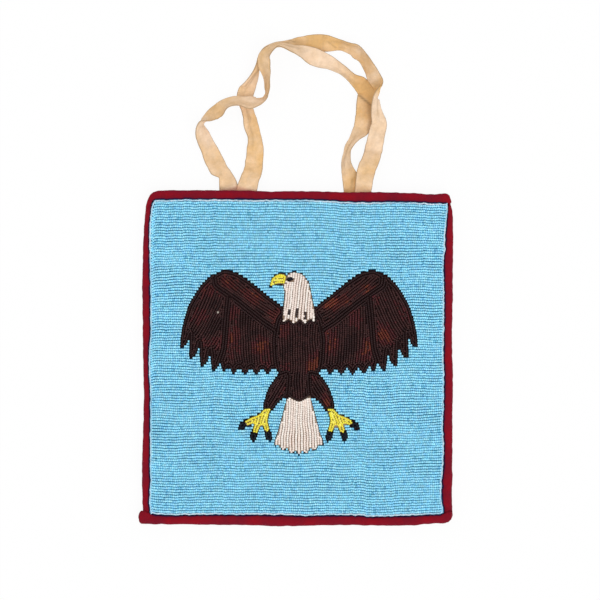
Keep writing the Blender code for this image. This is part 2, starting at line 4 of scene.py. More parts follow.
import bpy
import numpy as np
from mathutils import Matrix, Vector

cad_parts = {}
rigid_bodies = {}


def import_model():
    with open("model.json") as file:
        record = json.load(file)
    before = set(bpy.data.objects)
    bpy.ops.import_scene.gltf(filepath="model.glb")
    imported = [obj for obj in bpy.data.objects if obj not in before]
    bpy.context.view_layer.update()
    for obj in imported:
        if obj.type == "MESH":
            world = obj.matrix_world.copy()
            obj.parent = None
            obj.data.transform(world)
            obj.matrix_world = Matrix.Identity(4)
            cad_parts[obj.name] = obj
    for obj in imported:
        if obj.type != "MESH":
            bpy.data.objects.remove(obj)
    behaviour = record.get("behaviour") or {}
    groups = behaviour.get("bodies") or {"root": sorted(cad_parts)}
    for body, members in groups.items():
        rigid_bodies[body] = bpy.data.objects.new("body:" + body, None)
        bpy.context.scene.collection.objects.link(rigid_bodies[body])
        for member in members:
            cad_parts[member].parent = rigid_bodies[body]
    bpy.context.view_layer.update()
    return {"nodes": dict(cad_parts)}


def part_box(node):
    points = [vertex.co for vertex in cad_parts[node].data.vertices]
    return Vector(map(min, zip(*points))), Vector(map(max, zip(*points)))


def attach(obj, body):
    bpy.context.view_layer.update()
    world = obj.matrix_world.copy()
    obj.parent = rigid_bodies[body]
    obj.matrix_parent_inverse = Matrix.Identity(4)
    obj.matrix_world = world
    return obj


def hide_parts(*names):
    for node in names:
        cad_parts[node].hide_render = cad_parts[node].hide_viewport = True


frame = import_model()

# Beaded flat bag, lying on its back. Settings and places along the cloth are in millimetres.
mm = 0.001
scene = bpy.context.scene


# Helpers for places and meshes

def waves(x, y, length, seed):   # smooth unevenness, mostly between -1 and 1
    draw = np.random.default_rng(seed)
    count = 7
    total = 0.0
    for _ in range(count):
        heading = draw.uniform(0, 2 * math.pi)
        number = 2 * math.pi / (length * draw.uniform(0.6, 1.6))
        start = draw.uniform(0, 2 * math.pi)
        total = total + np.sin(number * (x * math.cos(heading) + y * math.sin(heading)) + start)
    return total / (1.1 * math.sqrt(count))


def wavesAlong(places, length, seed):
    return waves(places, 0 * places, length, seed)


def eased(value, low, high):
    share = np.clip((value - low) / (high - low), 0, 1)
    return share * share * (3 - 2 * share)


def reachOf(path):   # length of a path up to each of its points
    return np.concatenate([[0], np.cumsum(np.hypot(*np.diff(path[:, :2], axis=0).T))])


def pointsAt(stops, reach, path):
    return np.stack([np.interp(stops, reach, path[:, i]) for i in (0, 1)], 1)


def headingsOf(steps):
    return steps / np.maximum(np.hypot(*steps.T), 1e-6)[:, None]


def leftOf(headings):
    return np.stack([-headings[:, 1], headings[:, 0]], 1)


def makePiece(name, points, faces, material, smooth=True):
    mesh = bpy.data.meshes.new(name)
    mesh.from_pydata(np.asarray(points, float).tolist(), [], faces)
    if smooth:
        mesh.shade_smooth()
    mesh.materials.append(material)
    piece = bpy.data.objects.new(name, mesh)
    scene.collection.objects.link(piece)
    return piece


def addMark(piece, name, values):   # a number for each vertex, which the materials read
    mark = piece.data.attributes.new(name, "FLOAT", "POINT")
    mark.data.foreach_set("value", np.asarray(values, np.float32))


def finishPiece(piece, node):
    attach(piece, "root")
    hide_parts(node)


def closedLoft(rings):   # faces of a closed form through like rings, with both ends capped
    stations, around = len(rings), len(rings[0])
    faces = [tuple(reversed(range(around))), tuple(range((stations - 1) * around, stations * around))]
    for i in range(stations - 1):
        for j in range(around):
            k = (j + 1) % around
            faces.append((i * around + j, i * around + k, (i + 1) * around + k, (i + 1) * around + j))
    return faces


# Helpers for materials

def put(tree, kind, values=None, **settings):
    node = tree.nodes.new(kind)
    for key, value in settings.items():
        setattr(node, key, value)
    for key, value in (values or {}).items():
        if isinstance(value, bpy.types.NodeSocket):
            tree.links.new(value, node.inputs[key])
        else:
            node.inputs[key].default_value = value
    return node


def mathOf(tree, operation, *values):
    return put(tree, "ShaderNodeMath", dict(enumerate(values)), operation=operation).outputs[0]


def mixOf(tree, factor, first, second, blend="MIX"):
    node = put(tree, "ShaderNodeMix", {0: factor, 6: first, 7: second}, data_type="RGBA", blend_type=blend)
    return node.outputs[2]


def noiseOf(tree, place, scale, detail, roughness=0.5, twist=0.0):
    return put(tree, "ShaderNodeTexNoise", {
        "Vector": place, "Scale": scale, "Detail": detail, "Roughness": roughness, "Distortion": twist,
    }).outputs


def rangeOf(tree, value, low, high, most=1.0):   # 0 at low, most at high
    values = {"Value": value, "From Min": low, "From Max": high, "To Max": most}
    return put(tree, "ShaderNodeMapRange", values).outputs[0]


def markOf(tree, name):
    return put(tree, "ShaderNodeAttribute", attribute_name=name).outputs["Fac"]


def colour(red, green, blue):
    return (red, green, blue, 1)


def newGroup(name, inputs, outputs):   # an input's first value tells its kind, and None is a place
    group = bpy.data.node_groups.new(name, "ShaderNodeTree")
    for label, value in inputs.items():
        kind = "Vector" if value is None else "Color" if isinstance(value, tuple) else "Float"
        socket = group.interface.new_socket(label, in_out="INPUT", socket_type="NodeSocket" + kind)
        if value is not None:
            socket.default_value = value
    for label in outputs:
        kind = "Color" if label == "Colour" else "Float"
        group.interface.new_socket(label, in_out="OUTPUT", socket_type="NodeSocket" + kind)
    return group, group.nodes.new("NodeGroupInput").outputs, group.nodes.new("NodeGroupOutput").inputs


def placeGroup(tree, group, values):
    return put(tree, "ShaderNodeGroup", values, node_tree=group).outputs


def newMaterial(name, **sockets):
    material = bpy.data.materials.new(name)
    material.use_nodes = True
    tree = material.node_tree
    shader = tree.nodes["Principled BSDF"]
    for key, value in sockets.items():
        shader.inputs[key.replace("_", " ")].default_value = value
    place = put(tree, "ShaderNodeTexCoord").outputs["Object"]
    return material, tree, shader, place


# Effects that several materials share

blotchForm = {"detail": 4.0, "roughness": 0.6, "low": 0.36, "high": 0.66}


def makeBlotches():   # two colours in soft patches with finer ones inside them
    group, given, result = newGroup("blotches", {
        "Place": None, "Main Colour": colour(1, 1, 1), "Patch Colour": colour(0, 0, 0),
        "Patches per Metre": 100.0, "Amount": 0.5,
    }, ["Colour"])
    form = blotchForm
    noise = noiseOf(group, given["Place"], given["Patches per Metre"], form["detail"], form["roughness"])
    mask = rangeOf(group, noise["Fac"], form["low"], form["high"])
    part = mathOf(group, "MULTIPLY", mask, given["Amount"])
    group.links.new(mixOf(group, part, given["Main Colour"], given["Patch Colour"]), result["Colour"])
    return group


napForm = {
    "detail": 3.0, "roughness": 0.7, "tuftScale": 0.23, "tuftRoughness": 0.6, "tuftTwist": 0.6,
    "fibreShare": 0.55, "tuftShare": 0.45,
}


def makeNap():   # short fibres of felted wool or suede, with tufts among them
    group, given, result = newGroup("shortNap", {
        "Place": None, "Colour": colour(1, 1, 1), "Fibres per Metre": 2500.0, "Contrast": 0.3,
    }, ["Colour", "Height"])
    form, place = napForm, given["Place"]
    fibres = noiseOf(group, place, given["Fibres per Metre"], form["detail"], form["roughness"])["Fac"]
    scale = mathOf(group, "MULTIPLY", given["Fibres per Metre"], form["tuftScale"])
    tufts = noiseOf(group, place, scale, form["detail"], form["tuftRoughness"], form["tuftTwist"])["Fac"]
    fibreHeight = mathOf(group, "MULTIPLY", fibres, form["fibreShare"])
    height = mathOf(group, "ADD", fibreHeight, mathOf(group, "MULTIPLY", tufts, form["tuftShare"]))
    shade = mathOf(group, "MULTIPLY_ADD", mathOf(group, "SUBTRACT", height, 0.5), given["Contrast"], 1.0)
    grey = put(group, "ShaderNodeCombineColor", {0: shade, 1: shade, 2: shade}).outputs[0]
    group.links.new(mixOf(group, 1.0, given["Colour"], grey, "MULTIPLY"), result["Colour"])
    group.links.new(height, result["Height"])
    return group


weaveForm = {"wanderScale": 90.0, "wander": 0.0012, "gapDepth": -0.6}


def makeWeave():   # plain weave, threads over and under each other
    group, given, result = newGroup("plainWeave", {
        "Place": None, "Thread Colour": colour(1, 1, 1), "Gap Colour": colour(0, 0, 0),
        "Threads per Metre": 1600.0,
    }, ["Colour", "Height"])
    uneven = noiseOf(group, given["Place"], weaveForm["wanderScale"], 2.0)["Color"]
    shift = put(group, "ShaderNodeVectorMath", {0: uneven, "Scale": weaveForm["wander"]}, operation="SCALE")
    moved = put(group, "ShaderNodeVectorMath", {0: given["Place"], 1: shift.outputs[0]}, operation="ADD")
    axes = put(group, "ShaderNodeSeparateXYZ", {0: moved.outputs[0]}).outputs
    number = mathOf(group, "MULTIPLY", given["Threads per Metre"], math.pi)
    turns = [mathOf(group, "MULTIPLY", axes[axis], number) for axis in ("X", "Y")]
    sines = [mathOf(group, "SINE", turn) for turn in turns]
    over = mathOf(group, "MULTIPLY_ADD", mathOf(group, "MULTIPLY", *sines), 0.5, 0.5)
    rounds = [mathOf(group, "ABSOLUTE", mathOf(group, "COSINE", turn)) for turn in turns]
    gap = mathOf(group, "MULTIPLY", *rounds)
    height = mathOf(group, "MULTIPLY_ADD", gap, weaveForm["gapDepth"], over)
    group.links.new(mixOf(group, gap, given["Thread Colour"], given["Gap Colour"]), result["Colour"])
    group.links.new(height, result["Height"])
    return group


beadGlass = {
    "hueTurns": 91.0, "hueSwing": 0.006, "smoothest": 0.26, "roughening": 0.24, "pitScale": 1900.0,
    "pitStrength": 0.12, "pitDepth": 0.05, "slant": (0.93, 0.45),
}


def makeGlassBead():   # beads differ a little; their ends get a painted shade, and their sloping sides a painted shade that darkens and deepens the colour
    group, given, result = newGroup("glassBead", {
        "Place": None, "Colour": colour(1, 1, 1), "Tone": 0.5, "End": 0.0, "Variation": 0.2,
        "End Shade": 0.3, "Slant": 0.0, "Side Shade": 0.3,
    }, ["Colour", "Roughness", "Height"])
    look = beadGlass
    tone = mathOf(group, "SUBTRACT", given["Tone"], 0.5)
    bright = mathOf(group, "MULTIPLY_ADD", tone, given["Variation"], 1.0)
    # painted shade at the bead ends, where neighbouring beads meet
    wearAndShade = mathOf(group, "SUBTRACT", bright, mathOf(group, "MULTIPLY", given["End"], given["End Shade"]))
    swing = mathOf(group, "SINE", mathOf(group, "MULTIPLY", given["Tone"], look["hueTurns"]))
    hue = mathOf(group, "MULTIPLY_ADD", swing, look["hueSwing"], 0.5)
    shaded = put(group, "ShaderNodeHueSaturation", {
        "Hue": hue, "Saturation": 1.0, "Value": wearAndShade, "Color": given["Colour"],
    })
    pits = noiseOf(group, given["Place"], look["pitScale"], 1.0)["Fac"]
    # painted shade on the sloping sides: the colour is darkened and deepened where the surface faces away
    # from straight up
    depth = mathOf(group, "MULTIPLY_ADD", given["Slant"], given["Side Shade"], 1.0)
    sideShaded = put(group, "ShaderNodeGamma", {"Color": shaded.outputs[0], "Gamma": depth})
    group.links.new(sideShaded.outputs[0], result["Colour"])
    spread = mathOf(group, "ABSOLUTE", tone)
    rough = mathOf(group, "MULTIPLY_ADD", spread, look["roughening"], look["smoothest"])
    group.links.new(rough, result["Roughness"])
    group.links.new(pits, result["Height"])
    return group


blotches, shortNap, plainWeave, glassBead = makeBlotches(), makeNap(), makeWeave(), makeGlassBead()


def setRelief(tree, shader, height, strength, distance):
    bump = put(tree, "ShaderNodeBump", {"Height": height, "Strength": strength, "Distance": distance * mm})
    tree.links.new(bump.outputs[0], shader.inputs["Normal"])


# Glass of the beads. Each material's tones are what its lanes and single beads choose from.

# endShade and the side shade setting give how much painted shade the bead ends and sloping sides get
beadColours = {
    "skyBlueGlass": {
        "tones": [(0.342, 0.785, 1.0), (0.385, 0.82, 1.0), (0.298, 0.735, 0.99), (0.43, 0.845, 1.0),
                  (0.195, 0.58, 0.82)],
        "variation": 0.28, "endShade": 0.17, "specular": 0.35, "sideShade": 0.38,
    },
    # partly painted highlight: this pale glass also stands in for the light that catches the field's rim
    "paleBlueGlass": {
        "tones": [(0.54, 0.77, 0.91), (0.43, 0.72, 0.90), (0.68, 0.83, 0.93)],
        "variation": 0.22, "endShade": 0.15,
    },
    "brownGlass": {
        "tones": [(0.024, 0.0085, 0.0090), (0.042, 0.0145, 0.0145), (0.068, 0.0140, 0.0155),
                  (0.125, 0.027, 0.015), (0.42, 0.36, 0.32)],
        "variation": 0.5, "endShade": 0.2, "specular": 0.19, "sideShade": 0.0,
    },
    "rustGlass": {
        "tones": [(0.024, 0.0085, 0.0090), (0.044, 0.0145, 0.0140), (0.076, 0.0160, 0.0145),
                  (0.145, 0.032, 0.017), (0.42, 0.36, 0.32)],
        "variation": 0.5, "endShade": 0.2, "specular": 0.19, "sideShade": 0.0,
    },
    "blackGlass": {
        "tones": [(0.006, 0.007, 0.014), (0.010, 0.009, 0.016)],
        "variation": 0.5, "endShade": 0.15, "specular": 0.2, "sideShade": 0.0,
    },
    "warmWhiteGlass": {
        "tones": [(0.935, 0.81, 0.735), (0.96, 0.885, 0.82), (0.84, 0.665, 0.57), (0.03, 0.012, 0.012)],
        "variation": 0.14, "endShade": 0.14, "sideShade": 0.15,
    },
    "yellowGlass": {
        "tones": [(0.90, 0.775, 0.056), (0.95, 0.875, 0.14), (0.78, 0.565, 0.035)],
        "variation": 0.2, "endShade": 0.14, "sideShade": 0.15,
    },
}


def beadMaterial(name, tones, variation, endShade, specular=0.5, sideShade=0.25):
    material, tree, shader, place = newMaterial(name, Specular_IOR_Level=specular)
    ramp = put(tree, "ShaderNodeValToRGB", {0: markOf(tree, "laneTone")})
    ramp.color_ramp.interpolation = "CONSTANT"
    while len(ramp.color_ramp.elements) < len(tones):
        ramp.color_ramp.elements.new(0.5)
    for i, tone in enumerate(tones):
        ramp.color_ramp.elements[i].position = i / len(tones)
        ramp.color_ramp.elements[i].color = colour(*tone)
    # how far the surface faces away from straight up, for the painted shade on the bead's sloping sides
    normal = put(tree, "ShaderNodeTexCoord").outputs["Normal"]
    facing = put(tree, "ShaderNodeSeparateXYZ", {0: normal}).outputs["Z"]
    slant = rangeOf(tree, facing, *beadGlass["slant"])
    made = placeGroup(tree, glassBead, {
        "Place": place, "Colour": ramp.outputs[0], "Tone": markOf(tree, "beadTone"),
        "End": markOf(tree, "beadEnd"), "Variation": variation, "End Shade": endShade, "Slant": slant,
        "Side Shade": sideShade,
    })
    tree.links.new(made["Colour"], shader.inputs["Base Color"])
    tree.links.new(made["Roughness"], shader.inputs["Roughness"])
    setRelief(tree, shader, made["Height"], beadGlass["pitStrength"], beadGlass["pitDepth"])
    return material


glass = {name: beadMaterial(name, **values) for name, values in beadColours.items()}


# Wool, hide and cloth

wool = {
    "main": colour(0.268, 0.0040, 0.0125), "patch": colour(0.150, 0.0065, 0.0190), "patches": 62.0,
    "patchShare": 0.75, "fibres": 2600.0, "contrast": 0.9, "sheen": colour(0.9, 0.25, 0.28),
    "wanderScale": 130.0, "wander": 0.3,
    "shades": [   # painted shade on the roll: a colour, the innerEdge values at which it begins and is full, and its share there
        (colour(0.18, 0.0070, 0.0300), 0.3, -0.05, 0.6),    # painted shade on the outer side of the roll
        (colour(0.15, 0.0050, 0.0110), 0.45, 0.85, 0.55),   # painted shade towards the beads
        (colour(0.024, 0.004, 0.038), 0.82, 0.96, 1.0),     # the dark line along the inner edge, a painted shadow of the gap beside the beads
    ],
}


def woolMaterial():
    material, tree, shader, place = newMaterial(
        "feltedWool", Roughness=0.95, Specular_IOR_Level=0.09, Sheen_Weight=0.05, Sheen_Roughness=0.5,
        Sheen_Tint=wool["sheen"],
    )
    patches = placeGroup(tree, blotches, {
        "Place": place, "Main Colour": wool["main"], "Patch Colour": wool["patch"],
        "Patches per Metre": wool["patches"], "Amount": wool["patchShare"],
    })
    nap = placeGroup(tree, shortNap, {
        "Place": place, "Colour": patches["Colour"], "Fibres per Metre": wool["fibres"],
        "Contrast": wool["contrast"],
    })
    noise = noiseOf(tree, place, wool["wanderScale"], 3.0)["Fac"]
    mark = markOf(tree, "innerEdge")
    wander = mathOf(tree, "MULTIPLY_ADD", noise, wool["wander"], -wool["wander"] / 2)
    inward = mathOf(tree, "ADD", mark, wander)
    wearAndShade = nap["Colour"]
    # painted shade on the roll's sides and a painted shadow line along its inner edge
    for shade, first, last, most in wool["shades"]:
        wearAndShade = mixOf(tree, rangeOf(tree, inward, first, last, most), wearAndShade, shade)
    tree.links.new(wearAndShade, shader.inputs["Base Color"])
    setRelief(tree, shader, nap["Height"], 0.7, 0.35)
    return material


suede = {
    "roughness": 0.62, "uneven": 1.9, "soiling": 0.5, "soilRatio": 3.1, "contrast": 0.4, "rimFrom": 0.89,
    "rimShare": 0.7, "swellScale": 210.0, "swell": 2.2, "bounceRed": colour(0.50, 0.10, 0.09),
}
hides = {
    "strapBuckskin": {
        "pale": colour(0.955, 0.722, 0.52), "golden": colour(0.81, 0.495, 0.205),
        "edge": colour(0.36, 0.225, 0.11), "fibres": 2300.0, "patches": 52.0,
    },
    "backBuckskin": {
        "pale": colour(0.62, 0.45, 0.28), "golden": colour(0.47, 0.31, 0.16),
        "edge": colour(0.27, 0.17, 0.09), "fibres": 1700.0, "patches": 22.0,
    },
}


def suedeMaterial(name, pale, golden, edge, fibres, patches):   # goldenTone leads from pale to golden
    material, tree, shader, place = newMaterial(
        name, Roughness=0.92, Specular_IOR_Level=0.12, Sheen_Weight=0.04, Sheen_Roughness=0.6,
    )
    noise = noiseOf(tree, place, patches, 5.0, suede["roughness"])["Fac"]
    tone = mathOf(tree, "SUBTRACT", markOf(tree, "goldenTone"), suede["uneven"] / 2)
    share = rangeOf(tree, mathOf(tree, "MULTIPLY_ADD", noise, suede["uneven"], tone), 0.0, 1.0)
    face = mixOf(tree, share, pale, golden)
    soiled = placeGroup(tree, blotches, {
        "Place": place, "Main Colour": face, "Patch Colour": mixOf(tree, suede["soiling"], face, edge),
        "Patches per Metre": patches * suede["soilRatio"], "Amount": 0.5,
    })
    nap = placeGroup(tree, shortNap, {
        "Place": place, "Colour": soiled["Colour"], "Fibres per Metre": fibres,
        "Contrast": suede["contrast"],
    })
    # darker rim along the cut edges: partly the cut edge's own colour, partly painted shade
    rim = rangeOf(tree, markOf(tree, "edgePlace"), suede["rimFrom"], 1.0, suede["rimShare"])
    wearAndShade = mixOf(tree, rim, nap["Colour"], edge)
    # painted shade in the creases and folds, and beside the other handle
    creaseShaded = mixOf(tree, markOf(tree, "creaseShade"), wearAndShade, edge)
    bounceTinted = mixOf(tree, markOf(tree, "redBounce"), creaseShaded, suede["bounceRed"])   # painted red reflection that the red wool casts on the handles
    tree.links.new(bounceTinted, shader.inputs["Base Color"])
    swell = noiseOf(tree, place, suede["swellScale"], 2.0, 0.5, 0.8)["Fac"]
    height = mathOf(tree, "MULTIPLY_ADD", swell, suede["swell"], nap["Height"])
    setRelief(tree, shader, height, 0.5, 0.3)
    return material


cloths = {   # underBird: thread colours below the bird's fields, by the mark that says where they are; under the dark fields they are a painted dark shade for the gaps between beads
    "beadCanvas": {
        # the canvas's blue is painted shade: it stands in for the bluish shade seen between the lanes of
        # blue glass
        "thread": colour(0.022, 0.30, 0.54), "gap": colour(0.012, 0.18, 0.35), "threads": 1500.0,
        "relief": 0.6,
        "underBird": {"fromBird": colour(0.022, 0.009, 0.009), "fromPale": colour(0.60, 0.43, 0.31)},
    },
    "cottonLining": {
        "thread": colour(0.60, 0.53, 0.42), "gap": colour(0.35, 0.29, 0.21), "threads": 1900.0,
        "relief": 0.5, "underBird": {},
    },
}


def clothMaterial(name, thread, gap, threads, relief, underBird):
    material, tree, shader, place = newMaterial(name, Roughness=0.93, Specular_IOR_Level=0.1)
    # under the bird's dark fields the canvas takes a painted dark shade
    for mark, shade in underBird.items():
        inside = rangeOf(tree, markOf(tree, mark), -0.6, 0.6)
        thread, gap = mixOf(tree, inside, thread, shade), mixOf(tree, inside, gap, shade)
    patches = placeGroup(tree, blotches, {
        "Place": place, "Main Colour": thread, "Patch Colour": gap, "Patches per Metre": 45.0,
        "Amount": 0.25,
    })
    weave = placeGroup(tree, plainWeave, {
        "Place": place, "Thread Colour": patches["Colour"], "Gap Colour": gap, "Threads per Metre": threads,
    })
    tree.links.new(weave["Colour"], shader.inputs["Base Color"])
    setRelief(tree, shader, weave["Height"], relief, 0.15)
    return material


redWool = woolMaterial()
strapHide, backHide = (suedeMaterial(name, **values) for name, values in hides.items())
beadCanvas, cottonLining = (clothMaterial(name, **values) for name, values in cloths.items())
print("materials ready")


# Edges of the wool binding, as (place along the side, place across)

bagEdges = {
    "leftOuter": [
        (-124, -123.2), (-115, -123.8), (-97, -124.3), (-80, -124.1), (-62, -123.5), (-45, -122.9),
        (-30, -122.7), (-14, -123), (5, -123.5), (30, -123.6), (55, -124), (75, -123.7), (92, -123.2),
        (105, -122.5), (113, -121.9), (120, -121), (126, -119.6), (130, -117.4), (133, -113.5),
    ],
    "leftInner": [
        (-125, -117.2), (-115, -118.5), (-97, -117.2), (-88, -118), (-71, -117.5), (-62, -117.8),
        (-50, -117.3), (-27, -117.5), (-18, -118.2), (-2, -118.6), (9, -118.6), (17, -117.5), (25, -117.1),
        (40, -117.5), (60, -117.3), (78, -118), (90, -118.3), (105, -118.2), (113, -117.5), (119, -116.8),
        (124, -115.3), (127, -112),
    ],
    "rightInner": [
        (-125, 117.2), (-120, 117.0), (-117, 116.2), (-112, 115.5), (-106, 115.5), (-97, 115.9), (-88, 117),
        (-71, 117.6), (-62, 117.1), (-53, 116.7), (-40, 117.4), (-14, 117.8), (0, 117.2), (15, 117.5),
        (43, 117.9), (70, 117.4), (78, 117.3), (87, 118.6), (96, 118.6), (105, 119.3), (113, 120),
        (122, 120.7), (126, 120.7),
    ],
    "rightOuter": [
        (-124, 124.6), (-115, 123.9), (-100, 124.4), (-80, 124.5), (-50, 124.5), (-30, 124.8), (-20, 125),
        (-5, 124.6), (8, 124.3), (25, 124.2), (45, 124.8), (75, 124.9), (100, 125.2), (113, 124.9),
        (119, 124.2), (123, 123.2), (127, 122.9), (133, 121.5),
    ],
    "topOuter": [
        (-121, 121.2), (-120.5, 123.6), (-119.3, 127.2), (-117.6, 130.6), (-115, 132.7), (-111, 133.9),
        (-106, 134.2), (-88, 134.3), (-50, 134.2), (-31, 133.7), (-18, 133.2), (-2, 133.6), (12, 133.4),
        (26, 133), (38, 132.6), (52, 132.7), (66, 132.7), (80, 132.3), (94, 131.9), (103, 131.3),
        (110, 131), (114, 131.5), (118.5, 131.8), (121, 130.8), (122.2, 129), (123, 127), (123.5, 125.6),
    ],
    "topInner": [
        (-121, 119.3), (-119.4, 119.8), (-117.6, 121.8), (-115.8, 124.8), (-113, 126.6), (-108, 126.5),
        (-90, 126.9), (-60, 126.9), (-31, 126.4), (-15, 126.7), (0, 126.4), (12, 126.5), (26, 125.7),
        (36, 125), (50, 124.5), (66, 124.5), (84, 124.8), (103, 123.9), (113, 123.7), (119, 123.4),
        (121.3, 123.2), (122.6, 123), (123.5, 123.8),
    ],
    "bottomInner": [
        (-126.9, -125.6), (-126.3, -123.6), (-125.2, -122.3), (-121, -122.4), (-118, -124), (-114, -124.8),
        (-108, -125.3), (-98, -125.7), (-80, -125.3), (-30, -125.3), (-12, -125.5), (-2, -126), (7, -126.2),
        (20, -125.7), (50, -125.8), (56, -126.9), (74, -126.6), (94, -126), (103, -125.2), (113, -125),
        (117, -124.2), (120, -123), (124.8, -122),
    ],
    "bottomOuter": [
        (-126.9, -129.3), (-126.4, -131.6), (-125, -132.8), (-115, -133.3), (-100, -133.4), (-90, -133.2),
        (-65, -133.8), (-45, -133.9), (-31, -134.2), (-20, -134.8), (-2, -134.8), (15, -134.2),
        (35, -133.9), (56, -134.2), (74, -134.4), (94, -134.1), (103, -133.2), (113, -132.6), (118, -132.5),
        (121.4, -131.6), (123.6, -129.4), (124.8, -126.4),
    ],
}
edgeRipple = {"Inner": (0.22, 5.0), "Outer": (0.14, 7.0)}   # height and length of the finer unevenness


def edgeAt(name, along):
    stations, across = np.array(bagEdges[name], float).T
    height, length = edgeRipple[name[-5:]]
    seed = 40 + sorted(bagEdges).index(name)
    return np.interp(along, stations, across) + height * wavesAlong(along, length, seed)


# Beads

beadShape = {
    "length": 1.5, "radius": 0.99, "squash": 0.94, "tilt": 0.03, "turn": 0.035, "sizeSpread": 0.022,
    "toneSpread": 0.24, "seat": (-0.01, 0.05), "spacing": 1.5, "spare": 0.35, "uneven": 0.17,
    "endShares": (0.78, 1.2),
}
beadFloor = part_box("ground_beads")[0].z / mm
aroundBead = 6
ringPlaces = [(-0.5, 0.74), (-0.3, 1.0), (0.3, 1.0), (0.5, 0.74)]   # shares of the length and the radius
beadLayout = {
    "edge": 0.05, "width": 0.9, "height": 0.64, "ends": (0.27, 0.73), "endLevel": 0.84, "endSize": 0.1,
}


def beadTemplate():
    points, faces, layout = [], [], []
    plan, spans = beadLayout, len(ringPlaces) - 1
    for along, radius in ringPlaces:
        for k in range(aroundBead):
            turn = math.radians(30 + 360 / aroundBead * k)
            points.append((along, radius * math.cos(turn), radius * math.sin(turn)))
    for j in range(spans):
        for k in range(aroundBead):
            n = (k + 1) % aroundBead
            low, high = j * aroundBead, (j + 1) * aroundBead
            faces.append((low + k, low + n, high + n, high + k))
            for u, v in ((k, j), (k + 1, j), (k + 1, j + 1), (k, j + 1)):
                across, up = plan["width"] * u / aroundBead, plan["height"] * v / spans
                layout.append((plan["edge"] + across, plan["edge"] + up))
    last = spans * aroundBead
    rings = (range(aroundBead - 1, -1, -1), range(last, last + aroundBead))
    size = plan["endSize"]
    for centre, ring in zip(plan["ends"], rings):
        faces.append(tuple(ring))
        for k in range(aroundBead):
            turn = 2 * math.pi * k / aroundBead
            layout.append((centre + size * math.cos(turn), plan["endLevel"] + size * math.sin(turn)))
    return np.array(points), faces, np.array(layout)


templatePoints, templateFaces, templateLayout = beadTemplate()


def beadPiece(name, beads, material, node, seed, size=1.0, lift=0.0, slim=1.0):
    draw = np.random.default_rng(seed)
    shape = beadShape
    count = len(beads)   # rows of x, y, direction x, direction y, lane tone, share of the usual length
    length = shape["length"] * size * beads[:, 5]
    radius = shape["radius"] * size * slim * (1 + draw.uniform(-1, 1, count) * shape["sizeSpread"])
    turn = np.arctan2(beads[:, 3], beads[:, 2]) + draw.normal(0, shape["turn"], count)
    rise = draw.normal(0, shape["tilt"], count)
    along = np.stack([np.cos(turn) * np.cos(rise), np.sin(turn) * np.cos(rise), np.sin(rise)], 1)
    side = np.stack([-np.sin(turn), np.cos(turn), 0 * turn], 1)
    up = np.cross(along, side)
    middle = beadFloor + lift + radius * shape["squash"] + draw.uniform(*shape["seat"], count)
    points = (
        np.stack([beads[:, 0], beads[:, 1], middle], 1)[:, None]
        + along[:, None] * (templatePoints[:, 0] * length[:, None])[:, :, None]
        + side[:, None] * (templatePoints[:, 1] * radius[:, None])[:, :, None]
        + up[:, None] * (templatePoints[:, 2] * radius[:, None] * shape["squash"])[:, :, None]
    ).reshape(-1, 3)
    perBead = len(templatePoints)
    faces = [tuple(i * perBead + corner for corner in face) for i in range(count) for face in templateFaces]
    piece = makePiece(name, points * mm, faces, material)
    tones = np.clip(draw.normal(0.5, shape["toneSpread"], count), 0, 1)
    addMark(piece, "laneTone", np.repeat(beads[:, 4], perBead))
    addMark(piece, "beadTone", np.repeat(tones, perBead))
    ends = np.repeat([1.0 if abs(place) > 0.4 else 0.0 for place, _ in ringPlaces], aroundBead)
    addMark(piece, "beadEnd", np.tile(ends, count))
    cells = math.ceil(math.sqrt(count))
    corner = np.stack([np.arange(count) % cells, np.arange(count) // cells], 1)
    layout = (corner[:, None] + templateLayout[None]) / cells
    piece.data.uv_layers.new(name="OFBake").data.foreach_set("uv", layout.astype(np.float32).ravel())
    finishPiece(piece, node)


def toneOf(index, tones):
    return (index + 0.5) / tones


def loopsOf(node):   # outlines of a bead field's flat underside
    mesh = frame["nodes"][node].data
    places = [tuple(round(value * 1e6) for value in vertex.co) for vertex in mesh.vertices]   # micrometres
    underside = min(place[2] for place in places) + 20
    edges = set()
    for face in mesh.polygons:
        ring = [places[i] for i in face.vertices]
        if all(place[2] < underside for place in ring):
            for a, b in zip(ring, ring[1:] + ring[:1]):
                if (b[:2], a[:2]) in edges:
                    edges.discard((b[:2], a[:2]))
                else:
                    edges.add((a[:2], b[:2]))
    following = dict(edges)
    loops = []
    while following:
        start = next(iter(sorted(following)))
        ring = [start]
        while ring[-1] in following:
            ring.append(following.pop(ring[-1]))
        loops.append(np.array(ring[:-1], float) / 1000)
    return loops


def depthIn(points, loops):   # distance to the outline, positive inside it
    starts = np.concatenate(loops)
    ends = np.concatenate([np.roll(loop, -1, axis=0) for loop in loops])
    run = ends - starts
    square = np.maximum((run ** 2).sum(1), 1e-9)
    made = np.empty(len(points))
    atOnce = 8000
    for first in range(0, len(points), atOnce):
        p = points[first:first + atOnce]
        offset = p[:, None] - starts[None]
        share = np.clip((offset * run).sum(2) / square, 0, 1)
        nearest = np.sqrt(((offset - share[..., None] * run) ** 2).sum(2).min(1))
        upward = (starts[:, 1] <= p[:, 1:2]) != (ends[:, 1] <= p[:, 1:2])
        with np.errstate(divide="ignore", invalid="ignore"):
            crossing = starts[:, 0] + (p[:, 1:2] - starts[:, 1]) * run[:, 0] / run[:, 1]
        inside = (upward & (p[:, 0:1] < crossing)).sum(1) % 2 == 1
        made[first:first + atOnce] = np.where(inside, nearest, -nearest)
    return made


